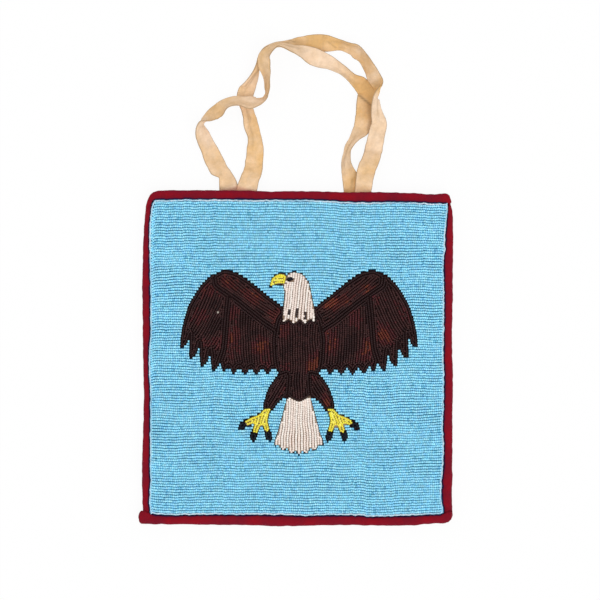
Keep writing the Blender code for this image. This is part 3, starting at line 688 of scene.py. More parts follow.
def laneBeads(path, free, draw):   # beads of uneven length, side by side along each free stretch of a lane
    made = []
    spacing, look = beadShape["spacing"], 0.3
    reach = reachOf(path)
    marks = np.flatnonzero(np.diff(np.concatenate([[0], free.astype(int), [0]])))
    for first, last in zip(marks[::2], marks[1::2] - 1):
        length = reach[last] - reach[first]
        count = int(length / spacing + beadShape["spare"]) + 1
        share = 1 + beadShape["uneven"] * draw.uniform(-1, 1, count)
        share[[0, -1]] *= draw.uniform(*beadShape["endShares"], 2)
        middles = np.cumsum(share) - share / 2
        room = length / max(middles[-1] - middles[0], 1.0) if count > 1 else spacing
        stops = reach[first] + (middles - middles[0]) * room + (length / 2 if count == 1 else 0)
        ahead = headingsOf(pointsAt(stops + look, reach, path) - pointsAt(stops - look, reach, path))
        lengths = np.column_stack([stops - reach[first], np.full(count, length), share * room / spacing])
        made.append(np.column_stack([pointsAt(stops, reach, path), ahead, lengths]))
    return np.concatenate(made) if made else np.empty((0, 7))


def crowding(points, beads, alongRoom, acrossRoom):   # below 1 where a bead is too near
    if len(beads) == 0:
        return np.full(len(points), 9.0)
    made = np.empty(len(points))
    atOnce = 2000
    for first in range(0, len(points), atOnce):
        offset = points[first:first + atOnce, None, :2] - beads[None, :, :2]
        along = (offset * beads[None, :, 2:4]).sum(2)
        across = offset[..., 0] * beads[None, :, 3] - offset[..., 1] * beads[None, :, 2]
        made[first:first + atOnce] = ((along / alongRoom) ** 2 + (across / acrossRoom) ** 2).min(1)
    return made


def addWhereFree(made, places, headings, alongRoom, acrossRoom):   # one by one, so that none crowds another
    for place, heading in zip(places, headings):
        if crowding(place[None], made, alongRoom, acrossRoom)[0] >= 1:
            made = np.concatenate([made, [[*place, *heading]]])
    return made


rimLane = {"shortest": 6, "step": 0.12, "look": 3, "slack": 0.1, "along": 0.97, "across": 1.75}


def rimBeads(loops, inset):   # one lane that follows the outline
    made = np.empty((0, 4))
    for loop in loops:
        closed = np.concatenate([loop, loop[:1]])
        reach = reachOf(closed)
        if reach[-1] < rimLane["shortest"]:
            continue
        path = pointsAt(np.arange(0, reach[-1], rimLane["step"]), reach, closed)
        look = rimLane["look"]
        ahead = headingsOf(np.roll(path, -look, axis=0) - np.roll(path, look, axis=0))
        for side in (1, -1):
            moved = path + side * inset * leftOf(ahead)
            keep = depthIn(moved, loops) > inset - rimLane["slack"]
            if keep.any():
                break
        room = beadShape["spacing"] * rimLane["along"]
        made = addWhereFree(made, moved[keep], ahead[keep], room, rimLane["across"])
    return made


gapFill = {"grid": 0.4, "along": 1.25, "across": 1.45, "fromEdge": 0.72}


def fillIn(beads, loops, angle):   # beads for the gaps that lanes leave
    allPoints = np.concatenate(loops)
    (left, low), (right, high) = allPoints.min(0), allPoints.max(0)
    x, y = np.arange(left, right, gapFill["grid"]), np.arange(low, high, gapFill["grid"])
    grid = np.stack(np.meshgrid(x, y), -1).reshape(-1, 2)
    grid = grid[crowding(grid, beads, gapFill["along"], gapFill["across"]) >= 1]
    grid = grid[depthIn(grid, loops) > gapFill["fromEdge"]]
    headings = [(math.cos(math.radians(angle)), math.sin(math.radians(angle)))] * len(grid)
    return addWhereFree(np.empty((0, 4)), grid, headings, gapFill["along"], gapFill["across"])


# The beaded bird, each field with lanes in its own direction

dark, brown, maroon, rust, speck = 0, 1, 2, 3, 4   # tones of the brown and the rust glass
beadKinds = {   # rim: the tone of the lanes along the outline, if any; lanes: tones of the lanes in turn
    "black": {"glass": "blackGlass", "slot": "black_beads", "rim": 0, "lanes": [0]},
    "yellow": {"glass": "yellowGlass", "slot": "yellow_beads", "rim": 0, "lanes": [1, 0]},
    "white": {"glass": "warmWhiteGlass", "slot": "white_beads", "rim": None, "lanes": [0, 1, 0, 0, 1]},
    "brown": {"glass": "brownGlass", "slot": "brown_beads", "rim": dark, "lanes": [brown], "redder": 0.0},
    "rust": {"glass": "rustGlass", "slot": "rust_beads", "rim": dark, "lanes": [brown], "redder": 0.3},
}
figurePlan = {   # stroke: every so many lanes, its tone, and the stretch of the lane that has it
    "eye_beads": {**beadKinds["black"], "angle": 0},
    "beak_beads": {**beadKinds["yellow"], "angle": 0},
    "head_beads": {**beadKinds["white"], "angle": 84, "lanes": [0, 1, 0, 0, 1, 0], "fan": -0.08,
                   "stroke": (3, 3, 0.06, 0.26)},
    "tail_beads": {**beadKinds["white"], "angle": 90, "fan": -0.2},
    "breast_beads": {**beadKinds["brown"], "angle": 90},
}
pairedPlan = {   # angles and bends of the right side, mirrored on the left
    "wing_coverts": {**beadKinds["rust"], "angle": 36, "rims": 2, "bend": 3.0},
    "wing_primaries": {**beadKinds["brown"], "angle": -62, "rims": 2, "bend": 5.0},
    "wing_secondaries": {**beadKinds["brown"], "angle": 88, "rims": 2, "redder": 0.05, "bend": 3.0},
    "thigh": {**beadKinds["brown"], "angle": -58, "redder": 0.15},
    "foot": {**beadKinds["yellow"], "angle": -70},
}
for number in (1, 2, 3):
    pairedPlan[f"talon_{number}"] = {**beadKinds["black"], "angle": -70}
for name, plan in pairedPlan.items():
    figurePlan[name + "_right"] = plan
    figurePlan[name + "_left"] = {**plan, "angle": 180 - plan["angle"], "bend": -plan.get("bend", 0)}

figureLanes = {
    "pitch": 2.06, "inset": 0.95, "fromRim": 1.1, "bareEdge": 0.8, "nearRim": (1.4, 1.55), "step": 0.15,
    "sway": 0.35, "swayLength": 26.0, "own": 0.08, "ownLength": 9.0, "patternStart": 700, "slimDark": 0.88,
    "specks": 0.0012, "patchLength": 27.0, "patchSpread": 0.12, "laneSpread": 0.22, "laneTurn": 4.1,
    "innerRim": -0.3, "toneSteps": (-0.5, 0.3, 1.1),
}


def fieldBeads(node, plan, seed):
    draw = np.random.default_rng(seed)
    loops, lanes = loopsOf(node), figureLanes
    tones = len(beadColours[plan["glass"]]["tones"])
    hasRim = plan["rim"] is not None
    rimCount = plan.get("rims", 1) if hasRim else 0
    rims = [rimBeads(loops, lanes["inset"] + lanes["pitch"] * i) for i in range(rimCount)]
    rim = np.concatenate([np.empty((0, 4)), *rims])
    rimTone = np.full(len(rim), toneOf(plan["rim"] or 0, tones))

    def patchTone(x, y, more):   # the tones run in patches
        redness = waves(x, y, lanes["patchLength"], seed + 40) + plan["redder"] + more
        redness = redness + draw.normal(0, lanes["patchSpread"], len(x))
        below = [redness < step for step in lanes["toneSteps"]]
        return toneOf(np.select(below, [dark, brown, maroon], rust), tones)

    if len(rims) > 1:
        inner = np.arange(len(rim)) >= len(rims[0])
        rimTone[inner] = patchTone(rim[inner, 0], rim[inner, 1], lanes["innerRim"])
    rows = [np.column_stack([rim, rimTone, np.ones(len(rim))])]
    outline = np.concatenate(loops)
    centre = (outline.min(0) + outline.max(0)) / 2
    reach = np.hypot(*(outline.max(0) - outline.min(0))) / 2 + 2
    angle = math.radians(plan["angle"])
    heading = np.array([math.cos(angle), math.sin(angle)])
    across = np.array([-math.sin(angle), math.cos(angle)])
    clearance = lanes["inset"] + lanes["fromRim"] if hasRim else lanes["bareEdge"]
    u = np.arange(-reach, reach, lanes["step"])
    laneCount = int(reach / lanes["pitch"]) + 1
    for k in range(-laneCount, laneCount + 1):
        v = k * lanes["pitch"] * (1 + plan.get("fan", 0) * u / reach)
        v = v + plan.get("bend", 0) * (u / reach) ** 2
        own = lanes["own"] * wavesAlong(u, lanes["ownLength"], seed * 31 + k)
        v = v + lanes["sway"] * waves(u, v, lanes["swayLength"], seed) + own
        path = centre + u[:, None] * heading + v[:, None] * across
        free = depthIn(path, loops) > clearance
        free &= crowding(path, rim, *lanes["nearRim"]) >= 1
        made = laneBeads(path, free, draw)
        if len(made) == 0:
            continue
        pattern = plan["lanes"]
        tone = np.full(len(made), toneOf(pattern[(k + lanes["patternStart"]) % len(pattern)], tones))
        if "stroke" in plan:
            every, stroke, first, last = plan["stroke"]
            share = made[:, 4] / np.maximum(made[:, 5], 1)
            stroked = (k % every == 0) & (share > first) & (share < last)
            tone = np.where(stroked, toneOf(stroke, tones), tone)
        if "redder" in plan:
            laneRedness = lanes["laneSpread"] * math.sin(lanes["laneTurn"] * k + seed)
            tone = patchTone(made[:, 0], made[:, 1], laneRedness)
            tone = np.where(draw.random(len(made)) < lanes["specks"], toneOf(speck, tones), tone)
        rows.append(np.column_stack([made[:, :4], tone, made[:, 6]]))
    beads = np.concatenate(rows)
    extra = fillIn(beads[:, :4], loops, plan["angle"])
    base = toneOf(plan["lanes"][0], tones)
    extraRows = np.column_stack([extra, np.full(len(extra), base), np.ones(len(extra))])
    beads = np.concatenate([beads, extraRows])
    print(f"{node}: {len(beads)} beads, {len(rim)} of them in the outline, {len(extra)} in gaps")
    return beads


for number, (node, plan) in enumerate(sorted(figurePlan.items())):
    beads = fieldBeads(node, plan, 300 + number)
    slim = figureLanes["slimDark"] if "redder" in plan else 1.0
    beadPiece("beads_" + node, beads, glass[plan["glass"]], node, 500 + number, slim=slim)
print("bird ready")


# The blue ground, in level lanes from edge to edge

groundLanes = {
    "lanes": 119, "edgeLane": 1.45, "sideGap": 0.42, "fromBird": 0.8, "nearBird": 3, "pieces": 4,
    "stretch": (-119.0, 121.0, 0.2), "sway": 0.42, "swayLength": 48.0, "own": 0.05, "ownLength": 13.0,
    "sideSway": 0.12, "sideLength": 24.0, "sides": (118, 117), "sideReach": 45,
    "heldAtEdge": 0.15, "heldRise": 6, "toneShares": [0.53, 0.24, 0.16, 0.04, 0.03],
}
birdHoles = [loop for loop in loopsOf("ground_beads") if np.ptp(loop[:, 0]) < 200]   # not its own outline


def groundBeads():
    draw = np.random.default_rng(11)
    lanes = groundLanes
    birdBox = np.concatenate(birdHoles)
    low, high = birdBox.min(0) - lanes["nearBird"], birdBox.max(0) + lanes["nearBird"]
    x = np.arange(*lanes["stretch"])
    bottom, top = edgeAt("bottomInner", x) + lanes["edgeLane"], edgeAt("topInner", x) - lanes["edgeLane"]
    leftEnd, rightEnd = lanes["sides"]
    nearSide = 1 - np.clip((np.minimum(x + leftEnd, rightEnd - x)) / lanes["sideReach"], 0, 1)
    fromSide = lanes["edgeLane"] + lanes["sideGap"]
    laneRows = []
    for k in range(lanes["lanes"]):
        share = (k + 0.5) / lanes["lanes"]
        y = bottom + (top - bottom) * share
        held = min(1.0, lanes["heldAtEdge"] + lanes["heldRise"] * min(share, 1 - share))
        sideSway = lanes["sideSway"] * nearSide * waves(x, y * 1.3, lanes["sideLength"], 22)
        y = y + held * (lanes["sway"] * waves(x, y, lanes["swayLength"], 21) + sideSway)
        y = y + held * lanes["own"] * wavesAlong(x, lanes["ownLength"], 1000 + k)
        free = (x > edgeAt("leftInner", y) + fromSide) & (x < edgeAt("rightInner", y) - fromSide)
        near = (y > low[1]) & (y < high[1]) & (x > low[0]) & (x < high[0])
        path = np.stack([x, y], 1)
        if near.any():
            free[near] &= -depthIn(path[near], birdHoles) > lanes["fromBird"]
        made = laneBeads(path, free, draw)
        laneRows.append(np.column_stack([made[:, :4], np.full(len(made), k), made[:, 6]]))
    beads = np.concatenate(laneRows)
    tones = len(lanes["toneShares"])
    beads[:, 4] = toneOf(draw.choice(tones, len(beads), p=lanes["toneShares"]), tones)
    return beads


ground = groundBeads()
ground = ground[np.argsort(ground[:, 1], kind="stable")]
for number, part in enumerate(np.array_split(ground, groundLanes["pieces"])):
    name = f"beads_ground_{number + 1}"
    beadPiece(name, part, glass["skyBlueGlass"], "ground_beads", 700 + number)
print(f"ground ready: {len(ground)} beads")


# The single pale lane round the field, pale partly from its own glass and partly from a painted highlight
# along the rim

edgeLane = {
    "inset": 0.75, "size": 0.76, "spacing": 1.14, "lift": 0.22, "sway": 0.16, "swayLength": 6.0,
    "up": (-124.2, 124.6), "over": (-113.6, 119.4), "under": (-116.6, 114.2), "step": 0.2, "cornerSteps": 4,
    "paleLength": 60.0, "paleSway": 0.9, "paleSpread": 0.3, "leftSide": -112, "paleLeft": -0.55,
    "paleElse": 0.15, "toneSteps": (-0.45, 0.5), "lengths": (0.85, 1.12),
}


def edgeLaneBeads():
    lane = edgeLane
    inset, cut = lane["inset"], lane["cornerSteps"]
    up, over, under = (np.arange(*lane[part], lane["step"]) for part in ("up", "over", "under"))
    left = np.stack([edgeAt("leftInner", up) + inset, up], 1)
    right = np.stack([edgeAt("rightInner", up) - inset, up], 1)
    top = np.stack([over, edgeAt("topInner", over) - inset], 1)
    bottom = np.stack([under, edgeAt("bottomInner", under) + inset], 1)
    path = np.concatenate([left[:-cut], top, right[::-1][cut:-cut], bottom[::-1]])
    path = np.concatenate([path, path[:1]])
    reach = reachOf(path)
    stops = np.linspace(0, reach[-1], int(reach[-1] / lane["spacing"]), endpoint=False)
    places = pointsAt(stops, reach, path)
    ahead = headingsOf(np.roll(places, -1, axis=0) - np.roll(places, 1, axis=0))
    places += (lane["sway"] * wavesAlong(stops, lane["swayLength"], 77))[:, None] * leftOf(ahead)
    draw = np.random.default_rng(78)
    pale = lane["paleSway"] * wavesAlong(stops, lane["paleLength"], 79)
    pale = pale + np.where(places[:, 0] < lane["leftSide"], lane["paleLeft"], lane["paleElse"])
    pale = pale + draw.normal(0, lane["paleSpread"], len(places))
    low, high = lane["toneSteps"]
    tones = toneOf(np.select([pale < low, pale > high], [1, 2], 0), 3)
    return np.column_stack([places, ahead, tones, draw.uniform(*lane["lengths"], len(places))])


edgeBeads = edgeLaneBeads()
beadPiece("beads_edge_lane", edgeBeads, glass["paleBlueGlass"], "edge_lane_beads", 790,
          edgeLane["size"], edgeLane["lift"])
print(f"edge lane ready: {len(edgeBeads)} beads")


# Layers of cloth and hide, on grids that follow the bag's outline

layerGrid = {
    "inset": 0.95, "corner": 4.0, "left": -123.8, "right": 123.8, "top": 133.6, "bottom": -133.6,
    "leftRun": 5.3, "rightRun": 6.9, "bottomRun": 7.3, "flat": (0.2458, 0.2654),   # flat size in metres
}
fieldBox = {"left": -117.6, "right": 116.0, "top": 125.8, "bottom": -125.4}


def insideField(x, y, run):   # 0 at the sewn edges of the field, 1 at a distance inside them
    box = fieldBox
    sides = [(x, box["left"]), (-x, -box["right"]), (y, box["bottom"]), (-y, -box["top"])]
    return np.minimum.reduce([eased(place, edge, edge + run) for place, edge in sides])


def insideEdges(x, y):   # 0 at the cut edges, 1 at the field
    box = layerGrid
    fromLeft = np.clip((x - box["left"] - box["inset"]) / box["leftRun"], 0, 1)
    fromRight = np.clip((box["right"] - box["inset"] - x) / box["rightRun"], 0, 1)
    fromBottom = np.clip((y - box["bottom"] - box["inset"]) / box["bottomRun"], 0, 1)
    return np.minimum(np.minimum(fromLeft, fromRight), fromBottom)


def backLevel(plan, x, y):   # heights of each layer's underside
    inside = insideField(x, y, plan["run"])
    long, short = plan["lengths"]
    ripple = 0.5 + 0.5 * waves(x, y * 0.7, long, plan["seed"]) + 0.25 * waves(x, y, short, plan["seed"] + 1)
    return plan["edge"] * (1 - inside) + inside * plan["field"] * np.clip(ripple, 0, plan["most"])


def backLiningLevel(plan, x, y):
    inside = insideField(x, y, plan["run"])
    ripple = np.clip(0.5 + 0.5 * waves(x, y, plan["length"], plan["seed"]), 0, plan["most"])
    return plan["edge"] * (1 - inside) + inside * (plan["field"] + plan["ripple"] * ripple)


def frontLevel(plan, x, y):
    inside = insideEdges(x, y)
    ripple = plan["ripple"] * inside * insideField(x, y, plan["run"])
    ripple = ripple * waves(x, y, plan["length"], plan["seed"])
    return plan["edge"] + (plan["field"] - plan["edge"]) * inside + ripple


layers = {   # grid: points across and along; edge and field: heights there; run: from the one to the other
    "back_hide_panel": {
        "node": "back_panel", "slot": "back_hide", "material": backHide, "thickness": 0.7, "grid": (60, 66),
        "level": backLevel, "edge": 0.9, "field": 0.34, "run": 9.0, "lengths": (34.0, 12.0), "most": 1.4,
        "seed": 61, "held": "stretched", "on": ["binding_left"],
    },
    "lining_back": {
        "node": "back_lining", "slot": "cotton_lining", "material": cottonLining, "thickness": 0.3,
        "grid": (30, 34), "level": backLiningLevel, "edge": 1.9, "field": 1.35, "run": 9.0, "ripple": 0.5,
        "length": 30.0, "most": 1.3, "seed": 63, "held": "laid", "on": ["back_panel"],
    },
    "lining_front": {
        "node": "front_lining", "slot": "cotton_lining", "material": cottonLining, "thickness": 0.3,
        "grid": (30, 34), "level": frontLevel, "edge": 2.5, "field": 8.1, "run": 12.0, "ripple": 0.14,
        "length": 38.0, "seed": 64, "held": "laid", "on": ["back_panel"],
    },
    "canvas_under_beads": {
        "node": "front_canvas", "slot": "canvas", "material": beadCanvas, "thickness": 0.6,
        "grid": (66, 70), "level": frontLevel, "edge": 3.1, "field": 8.8, "run": 12.0, "ripple": 0.05,
        "length": 38.0, "seed": 65, "held": "stretched", "on": ["binding_left"],
    },
}


def layerPiece(name, plan):
    box = layerGrid
    (columns, rows), inset, corner = plan["grid"], box["inset"], box["corner"]
    across, along = np.meshgrid(np.linspace(0, 1, columns), np.linspace(0, 1, rows), indexing="ij")
    y = box["bottom"] + (box["top"] - box["bottom"]) * along
    left, right = edgeAt("leftOuter", y) + inset, edgeAt("rightOuter", y) - inset
    x = left + (right - left) * across
    low, high = edgeAt("bottomOuter", x) + inset, edgeAt("topOuter", x) - inset
    fromSide = np.minimum(x - left, right - x)
    rounding = corner - np.sqrt(np.maximum(corner ** 2 - (corner - fromSide) ** 2, 0))
    high -= np.where(fromSide < corner, rounding, 0)
    y = low + (high - low) * along
    z = plan["level"](plan, x, y)
    lifts = (0, plan["thickness"])
    points = np.concatenate([np.stack([x, y, z + lift], -1).reshape(-1, 3) for lift in lifts])
    upper = columns * rows
    faces = []
    for i in range(columns - 1):
        for j in range(rows - 1):
            a, b, c, d = i * rows + j, (i + 1) * rows + j, (i + 1) * rows + j + 1, i * rows + j + 1
            faces += [(a, d, c, b), (upper + a, upper + b, upper + c, upper + d)]
    rim = [i * rows for i in range(columns)] + [(columns - 1) * rows + j for j in range(1, rows)]
    rim += [i * rows + rows - 1 for i in range(columns - 2, -1, -1)] + list(range(rows - 2, 0, -1))
    faces += [(a, b, upper + b, upper + a) for a, b in zip(rim, rim[1:] + rim[:1])]
    piece = makePiece(name, points * mm, faces, plan["material"])
    finishPiece(piece, plan["node"])
    return piece


sheets = {name: layerPiece(name, plan) for name, plan in layers.items()}
back, canvas = sheets["back_hide_panel"], sheets["canvas_under_beads"]
addMark(back, "goldenTone", np.full(len(back.data.vertices), 0.45))
birdSpread = 1.2   # how far the painted dark shade on the canvas under the bird reaches past its outline
paleNodes = ("head_beads", "tail_beads", "beak_beads", "foot_left", "foot_right")
paleFields = [loop for node in paleNodes for loop in loopsOf(node)]
canvasPlaces = np.array([vertex.co[:2] for vertex in canvas.data.vertices]) / mm
addMark(canvas, "fromBird", np.clip(depthIn(canvasPlaces, birdHoles) + birdSpread, -8, 8))
addMark(canvas, "fromPale", np.clip(depthIn(canvasPlaces, paleFields), -8, 8))
print("layers ready")


# Wool binding, rolled round the edges. Sections: (share of the width inwards from the outer edge, height).

sideRoll = [
    (1, 0.05), (0.55, 0.0), (0.2, 0.1), (0.06, 0.75), (0.0, 2.2), (-0.01, 4.0), (0.0, 5.8), (0.04, 7.4),
    (0.11, 8.8), (0.22, 9.9), (0.38, 10.7), (0.55, 11.1), (0.72, 11.15), (0.86, 10.95), (0.95, 10.5),
    (1.0, 9.9), (0.98, 9.62), (0.55, 9.55), (0.2, 8.9), (0.12, 7.0), (0.11, 3.5), (0.15, 1.2), (0.55, 0.72),
    (0.97, 0.75),
]
frontLip = [
    (0.78, 7.3), (0.35, 7.25), (0.1, 7.35), (0.015, 7.9), (0.0, 8.8), (0.015, 9.6), (0.07, 10.3),
    (0.17, 10.85), (0.32, 11.15), (0.5, 11.25), (0.7, 11.2), (0.86, 10.95), (0.96, 10.45), (1.0, 9.9),
    (0.97, 9.66), (0.5, 9.62), (0.16, 9.5), (0.1, 8.7), (0.13, 8.0), (0.35, 7.95), (0.76, 7.92),
]
backLip = [
    (1, 0.05), (0.5, 0.0), (0.1, 0.1), (0.015, 0.6), (0.0, 1.4), (0.02, 2.3), (0.09, 2.9), (0.3, 3.08),
    (0.78, 3.05), (0.78, 2.52), (0.35, 2.5), (0.12, 2.3), (0.09, 1.5), (0.12, 0.85), (0.5, 0.68),
    (0.98, 0.65),
]
roll = {
    "gap": 0.3, "curl": 1.7, "fineFuzz": (0.09, 3.2), "fuzz": (0.14, 14.0), "sideFuzz": 0.6,
    "seenPart": 0.66, "seenAbove": 0.8, "hidden": 0.3, "bare": 0.4, "bareRun": 2,
    "lapLeft": (114.5, 117.5), "lapRight": (117.6, 120.4), "lapLevel": 9.2,
}
rollEnd = {"contour": 16, "steps": [(-0.6, 0.93), (-0.1, 0.95), (0.2, 0.78)], "stopsAt": -124.75}


def upright(stations, across, high):
    return np.stack([across, stations, high], -1)


def lyingAcross(stations, across, high):
    return np.stack([stations, across, high], -1)


def overTheMouth(stations, across, high):   # past the mouth the fold's top goes on over the side rolls
    beyond = np.maximum(eased(-stations, *roll["lapLeft"]), eased(stations, *roll["lapRight"]))
    return np.stack([stations, across, high + beyond * (np.maximum(high, roll["lapLevel"]) - high)], -1)


# stations: from, to and step. tucked: direction, start, run and the height left under another strip.
# rounded: direction, end, run and the least height. Shadow line: between which places the painted shadow
# along the inner edge shows.
strips = {
    "left": {
        "section": sideRoll, "outer": ("leftOuter", 0), "inner": ("leftInner", 0), "form": upright,
        "stations": [(-124.6, 120, 1.15), (120, 133.2, 0.6)], "seed": 81, "reverse": False,
        "tucked": [(1, 119, 6, 0.8), (-1, 118, 4, 0.82)],
    },
    "right": {
        "section": sideRoll, "outer": ("rightOuter", 0), "inner": ("rightInner", 0), "form": upright,
        "stations": [(-124.6, 120, 1.15), (120, 130.4, 0.6)], "seed": 83, "reverse": True,
        "tucked": [(1, 118, 6, 0.78), (-1, 118, 4, 0.82)],
    },
    "bottom": {
        "section": sideRoll, "outer": ("bottomOuter", 0), "inner": ("bottomInner", 0), "form": lyingAcross,
        "stations": [(-126.9, -120, 0.5), (-120, 118, 1.15), (118, 124.9, 0.5)], "seed": 85,
        "reverse": True, "rounded": [(-1, 127.3, 1.4, 0.2), (1, 125.6, 2.4, 0.15)],
        "selvage": (-117, 115.5), "endsFolded": True,
    },
    "mouth_front": {
        "section": frontLip, "outer": ("topOuter", 0), "inner": ("topInner", 0), "form": overTheMouth,
        "stations": [(-121.0, -112, 0.4), (-112, 114, 1.15), (114, 123.5, 0.4)], "lastStation": [123.5],
        "seed": 87, "reverse": False, "selvage": (-116, 119.5),
    },
    "mouth_back": {
        "section": backLip, "outer": ("topOuter", 0.2), "inner": ("topOuter", -7.6), "form": lyingAcross,
        "stations": [(-117.2, 119.6, 1.2)], "lastStation": [120.1], "seed": 89, "reverse": False,
    },
}


def heightsOf(plan, stations):
    heights = np.ones(len(stations))
    for sign, start, run, left in plan.get("tucked", []):
        heights = heights * (1 - (1 - left) * eased(sign * stations, start, start + run))
    for sign, end, run, least in plan.get("rounded", []):
        heights = heights * np.sqrt(np.clip((end - sign * stations) / run, least, 1))
    return heights


def foldedEnd(contour, outward, reverse):   # the strip's own end, turned in to close the roll
    middle = contour.mean(0)
    rings = []
    for shift, size in rollEnd["steps"]:
        ring = middle + (contour - middle) * size
        ring[:, 0] = contour[:, 0] + shift * outward
        ring[:, 1] = np.minimum(ring[:, 1], rollEnd["stopsAt"])
        rings.append(ring)
    rings = np.array(rings)
    return rings[:, ::-1] if reverse == (outward > 0) else rings


def bindingPiece(side, plan):
    section, reverse, seed = plan["section"], plan["reverse"], plan["seed"]
    parts = [np.arange(*part) for part in plan["stations"]]
    stations = np.concatenate([*parts, plan.get("lastStation", [])])
    outer, inner = (edgeAt(edge, stations) + shift for edge, shift in (plan["outer"], plan["inner"]))
    share, height = np.array(section).T
    width = inner - outer
    across = outer[:, None] + (width - roll["gap"] * np.sign(width))[:, None] * share[None]
    high = height[None] * heightsOf(plan, stations)[:, None]
    turn = np.arange(len(section))[None] * roll["curl"]
    along = stations[:, None] + 0 * turn
    (fine, fineLength), (coarse, length) = roll["fineFuzz"], roll["fuzz"]
    fuzz = fine * waves(along, turn, fineLength, seed) + coarse * waves(along, turn, length, seed + 1)
    onOuter = np.arange(len(section)) < len(section) * roll["seenPart"]
    onOuter = onOuter[None] & (height[None] > roll["seenAbove"])
    high = high + fuzz * onOuter * np.clip(high / 6, 0, 1)
    across = across - np.sign(width)[:, None] * roll["sideFuzz"] * fuzz * onOuter * (share[None] < 0.3)
    rings = plan["form"](np.repeat(stations[:, None], len(section), 1), across, np.maximum(high, 0.0))
    folds = []
    if plan.get("endsFolded"):
        contours = rings[:, :rollEnd["contour"]]
        folds = [foldedEnd(contours[0], -1, reverse), foldedEnd(contours[-1], 1, reverse)]
    if reverse:
        rings = rings[:, ::-1]
    points, faces = rings.reshape(-1, 3), closedLoft(rings)
    for fold in folds:
        faces += [tuple(corner + len(points) for corner in face) for face in closedLoft(fold)]
        points = np.concatenate([points, fold.reshape(-1, 3)])
    piece = makePiece("wool_" + side, points * mm, faces, redWool)
    # innerEdge places the wool's painted shade and its painted shadow line along the inner edge
    marks = np.where(onOuter, np.clip(share, 0, 1)[None] + 0 * high, roll["hidden"])
    marks = np.where((share[None] > 0.9) & (height[None] > 9), 1.0, marks)   # the inner edge itself
    if "selvage" in plan:   # no painted shadow line where a strip ends on another one
        (first, last), run = plan["selvage"], roll["bareRun"]
        bare = np.maximum(eased(-stations, -first, run - first), eased(stations, last, last + run))[:, None]
        marks = marks + (roll["bare"] - marks) * bare
    marks = (marks[:, ::-1] if reverse else marks).ravel()
    addMark(piece, "innerEdge", np.append(marks, np.full(len(points) - len(marks), roll["hidden"])))
    finishPiece(piece, "binding_" + side)


for side, plan in strips.items():
    bindingPiece(side, plan)
print("binding ready")


# Handles of soft hide. Routes: x, y past the mouth, degrees turned over, share of the width, golden tone.

strap = {
    "width": 13.2, "thickness": 1.15, "thinEdge": 0.45, "tail": 14, "steps": 8, "around": 21, "landing": 24,
    "slope": 0.35, "clearance": 0.3, "looseFrom": (2, 14), "drawn": (1.06, 0.03, 0.4), "fold": 2.4,
    "valley": (0.42, 55.0, 0.17), "ridge": (0.62, 37.0, 0.2), "ridgeShare": 0.6, "cup": 0.5,
    "cupLength": 45.0, "bow": 3.0, "dimples": (0.16, 9.0), "swell": (0.3, 26.0), "edgeSpread": 0.03,
    "ragLengths": (16.0, 4.5), "creaseGain": 2.2, "cutPlace": (-62.3, 10.8, 0.42), "bounceLeft": 0.42,
    "bounceRight": 0.08, "bounceUpTo": (0.4, 3.4),
}
mouthTop = 133.6
backRoute = [
    (-55.2, 1, 0, 1.27, 0.1), (-57.4, 8.8, 15, 1.22, 0.35), (-62.4, 17.1, 22, 1.14, 0.4),
    (-67.1, 25.8, 10, 1.15, 0.45), (-71.2, 35, 25, 1.04, 0.3), (-75.5, 45.1, 38, 1.11, 0.15),
    (-76.5, 51.9, 62, 0.95, 0.1), (-74.4, 56.1, 102, 0.9, 0.3), (-69.7, 59.6, 128, 1.06, 0.6),
    (-63.1, 64.4, 139, 1.16, 0.85), (-55.6, 69.5, 123, 1.1, 0.5), (-46.7, 71.2, 125, 1.05, 0.35),
    (-37.5, 70.6, 140, 1.03, 0.25), (-29.9, 71.8, 123, 0.9, 0.4), (-24.6, 75.9, 106, 0.8, 0.5),
    (-23.2, 83, 110, 0.8, 0.55), (-24.1, 91.8, 118, 0.88, 0.6), (-25.7, 100.2, 138, 1.01, 0.5),
    (-25.8, 107.6, 132, 1.07, 0.45), (-20.8, 113.4, 115, 0.99, 0.45), (-14.2, 116.3, 114, 0.83, 0.4),
    (-5, 113.9, 123, 0.82, 0.3), (5.2, 111, 148, 0.98, 0.1), (15.4, 107, 180, 1.09, 0.05),
    (26.8, 102.6, 195, 0.85, 0.05), (36.6, 97.4, 217, 0.71, 0.15), (44.2, 91, 223, 0.79, 0.6),
    (51.2, 85.8, 186, 0.94, 1.05), (55.4, 79.1, 173, 1.05, 1.1), (54.2, 70.1, 158, 1.02, 0.85),
    (53.4, 59.7, 184, 1, 0.7), (52.1, 50.5, 188, 1.03, 0.5), (46.2, 42.7, 227, 0.84, 0.35),
    (41.2, 34.6, 238, 0.72, 0.3), (39.9, 25.4, 228, 0.75, 0.35), (40.8, 17.3, 211, 0.89, 0.6),
    (43, 9.3, 193, 1, 0.9), (43.8, 1, 180, 0.98, 0.9),
]
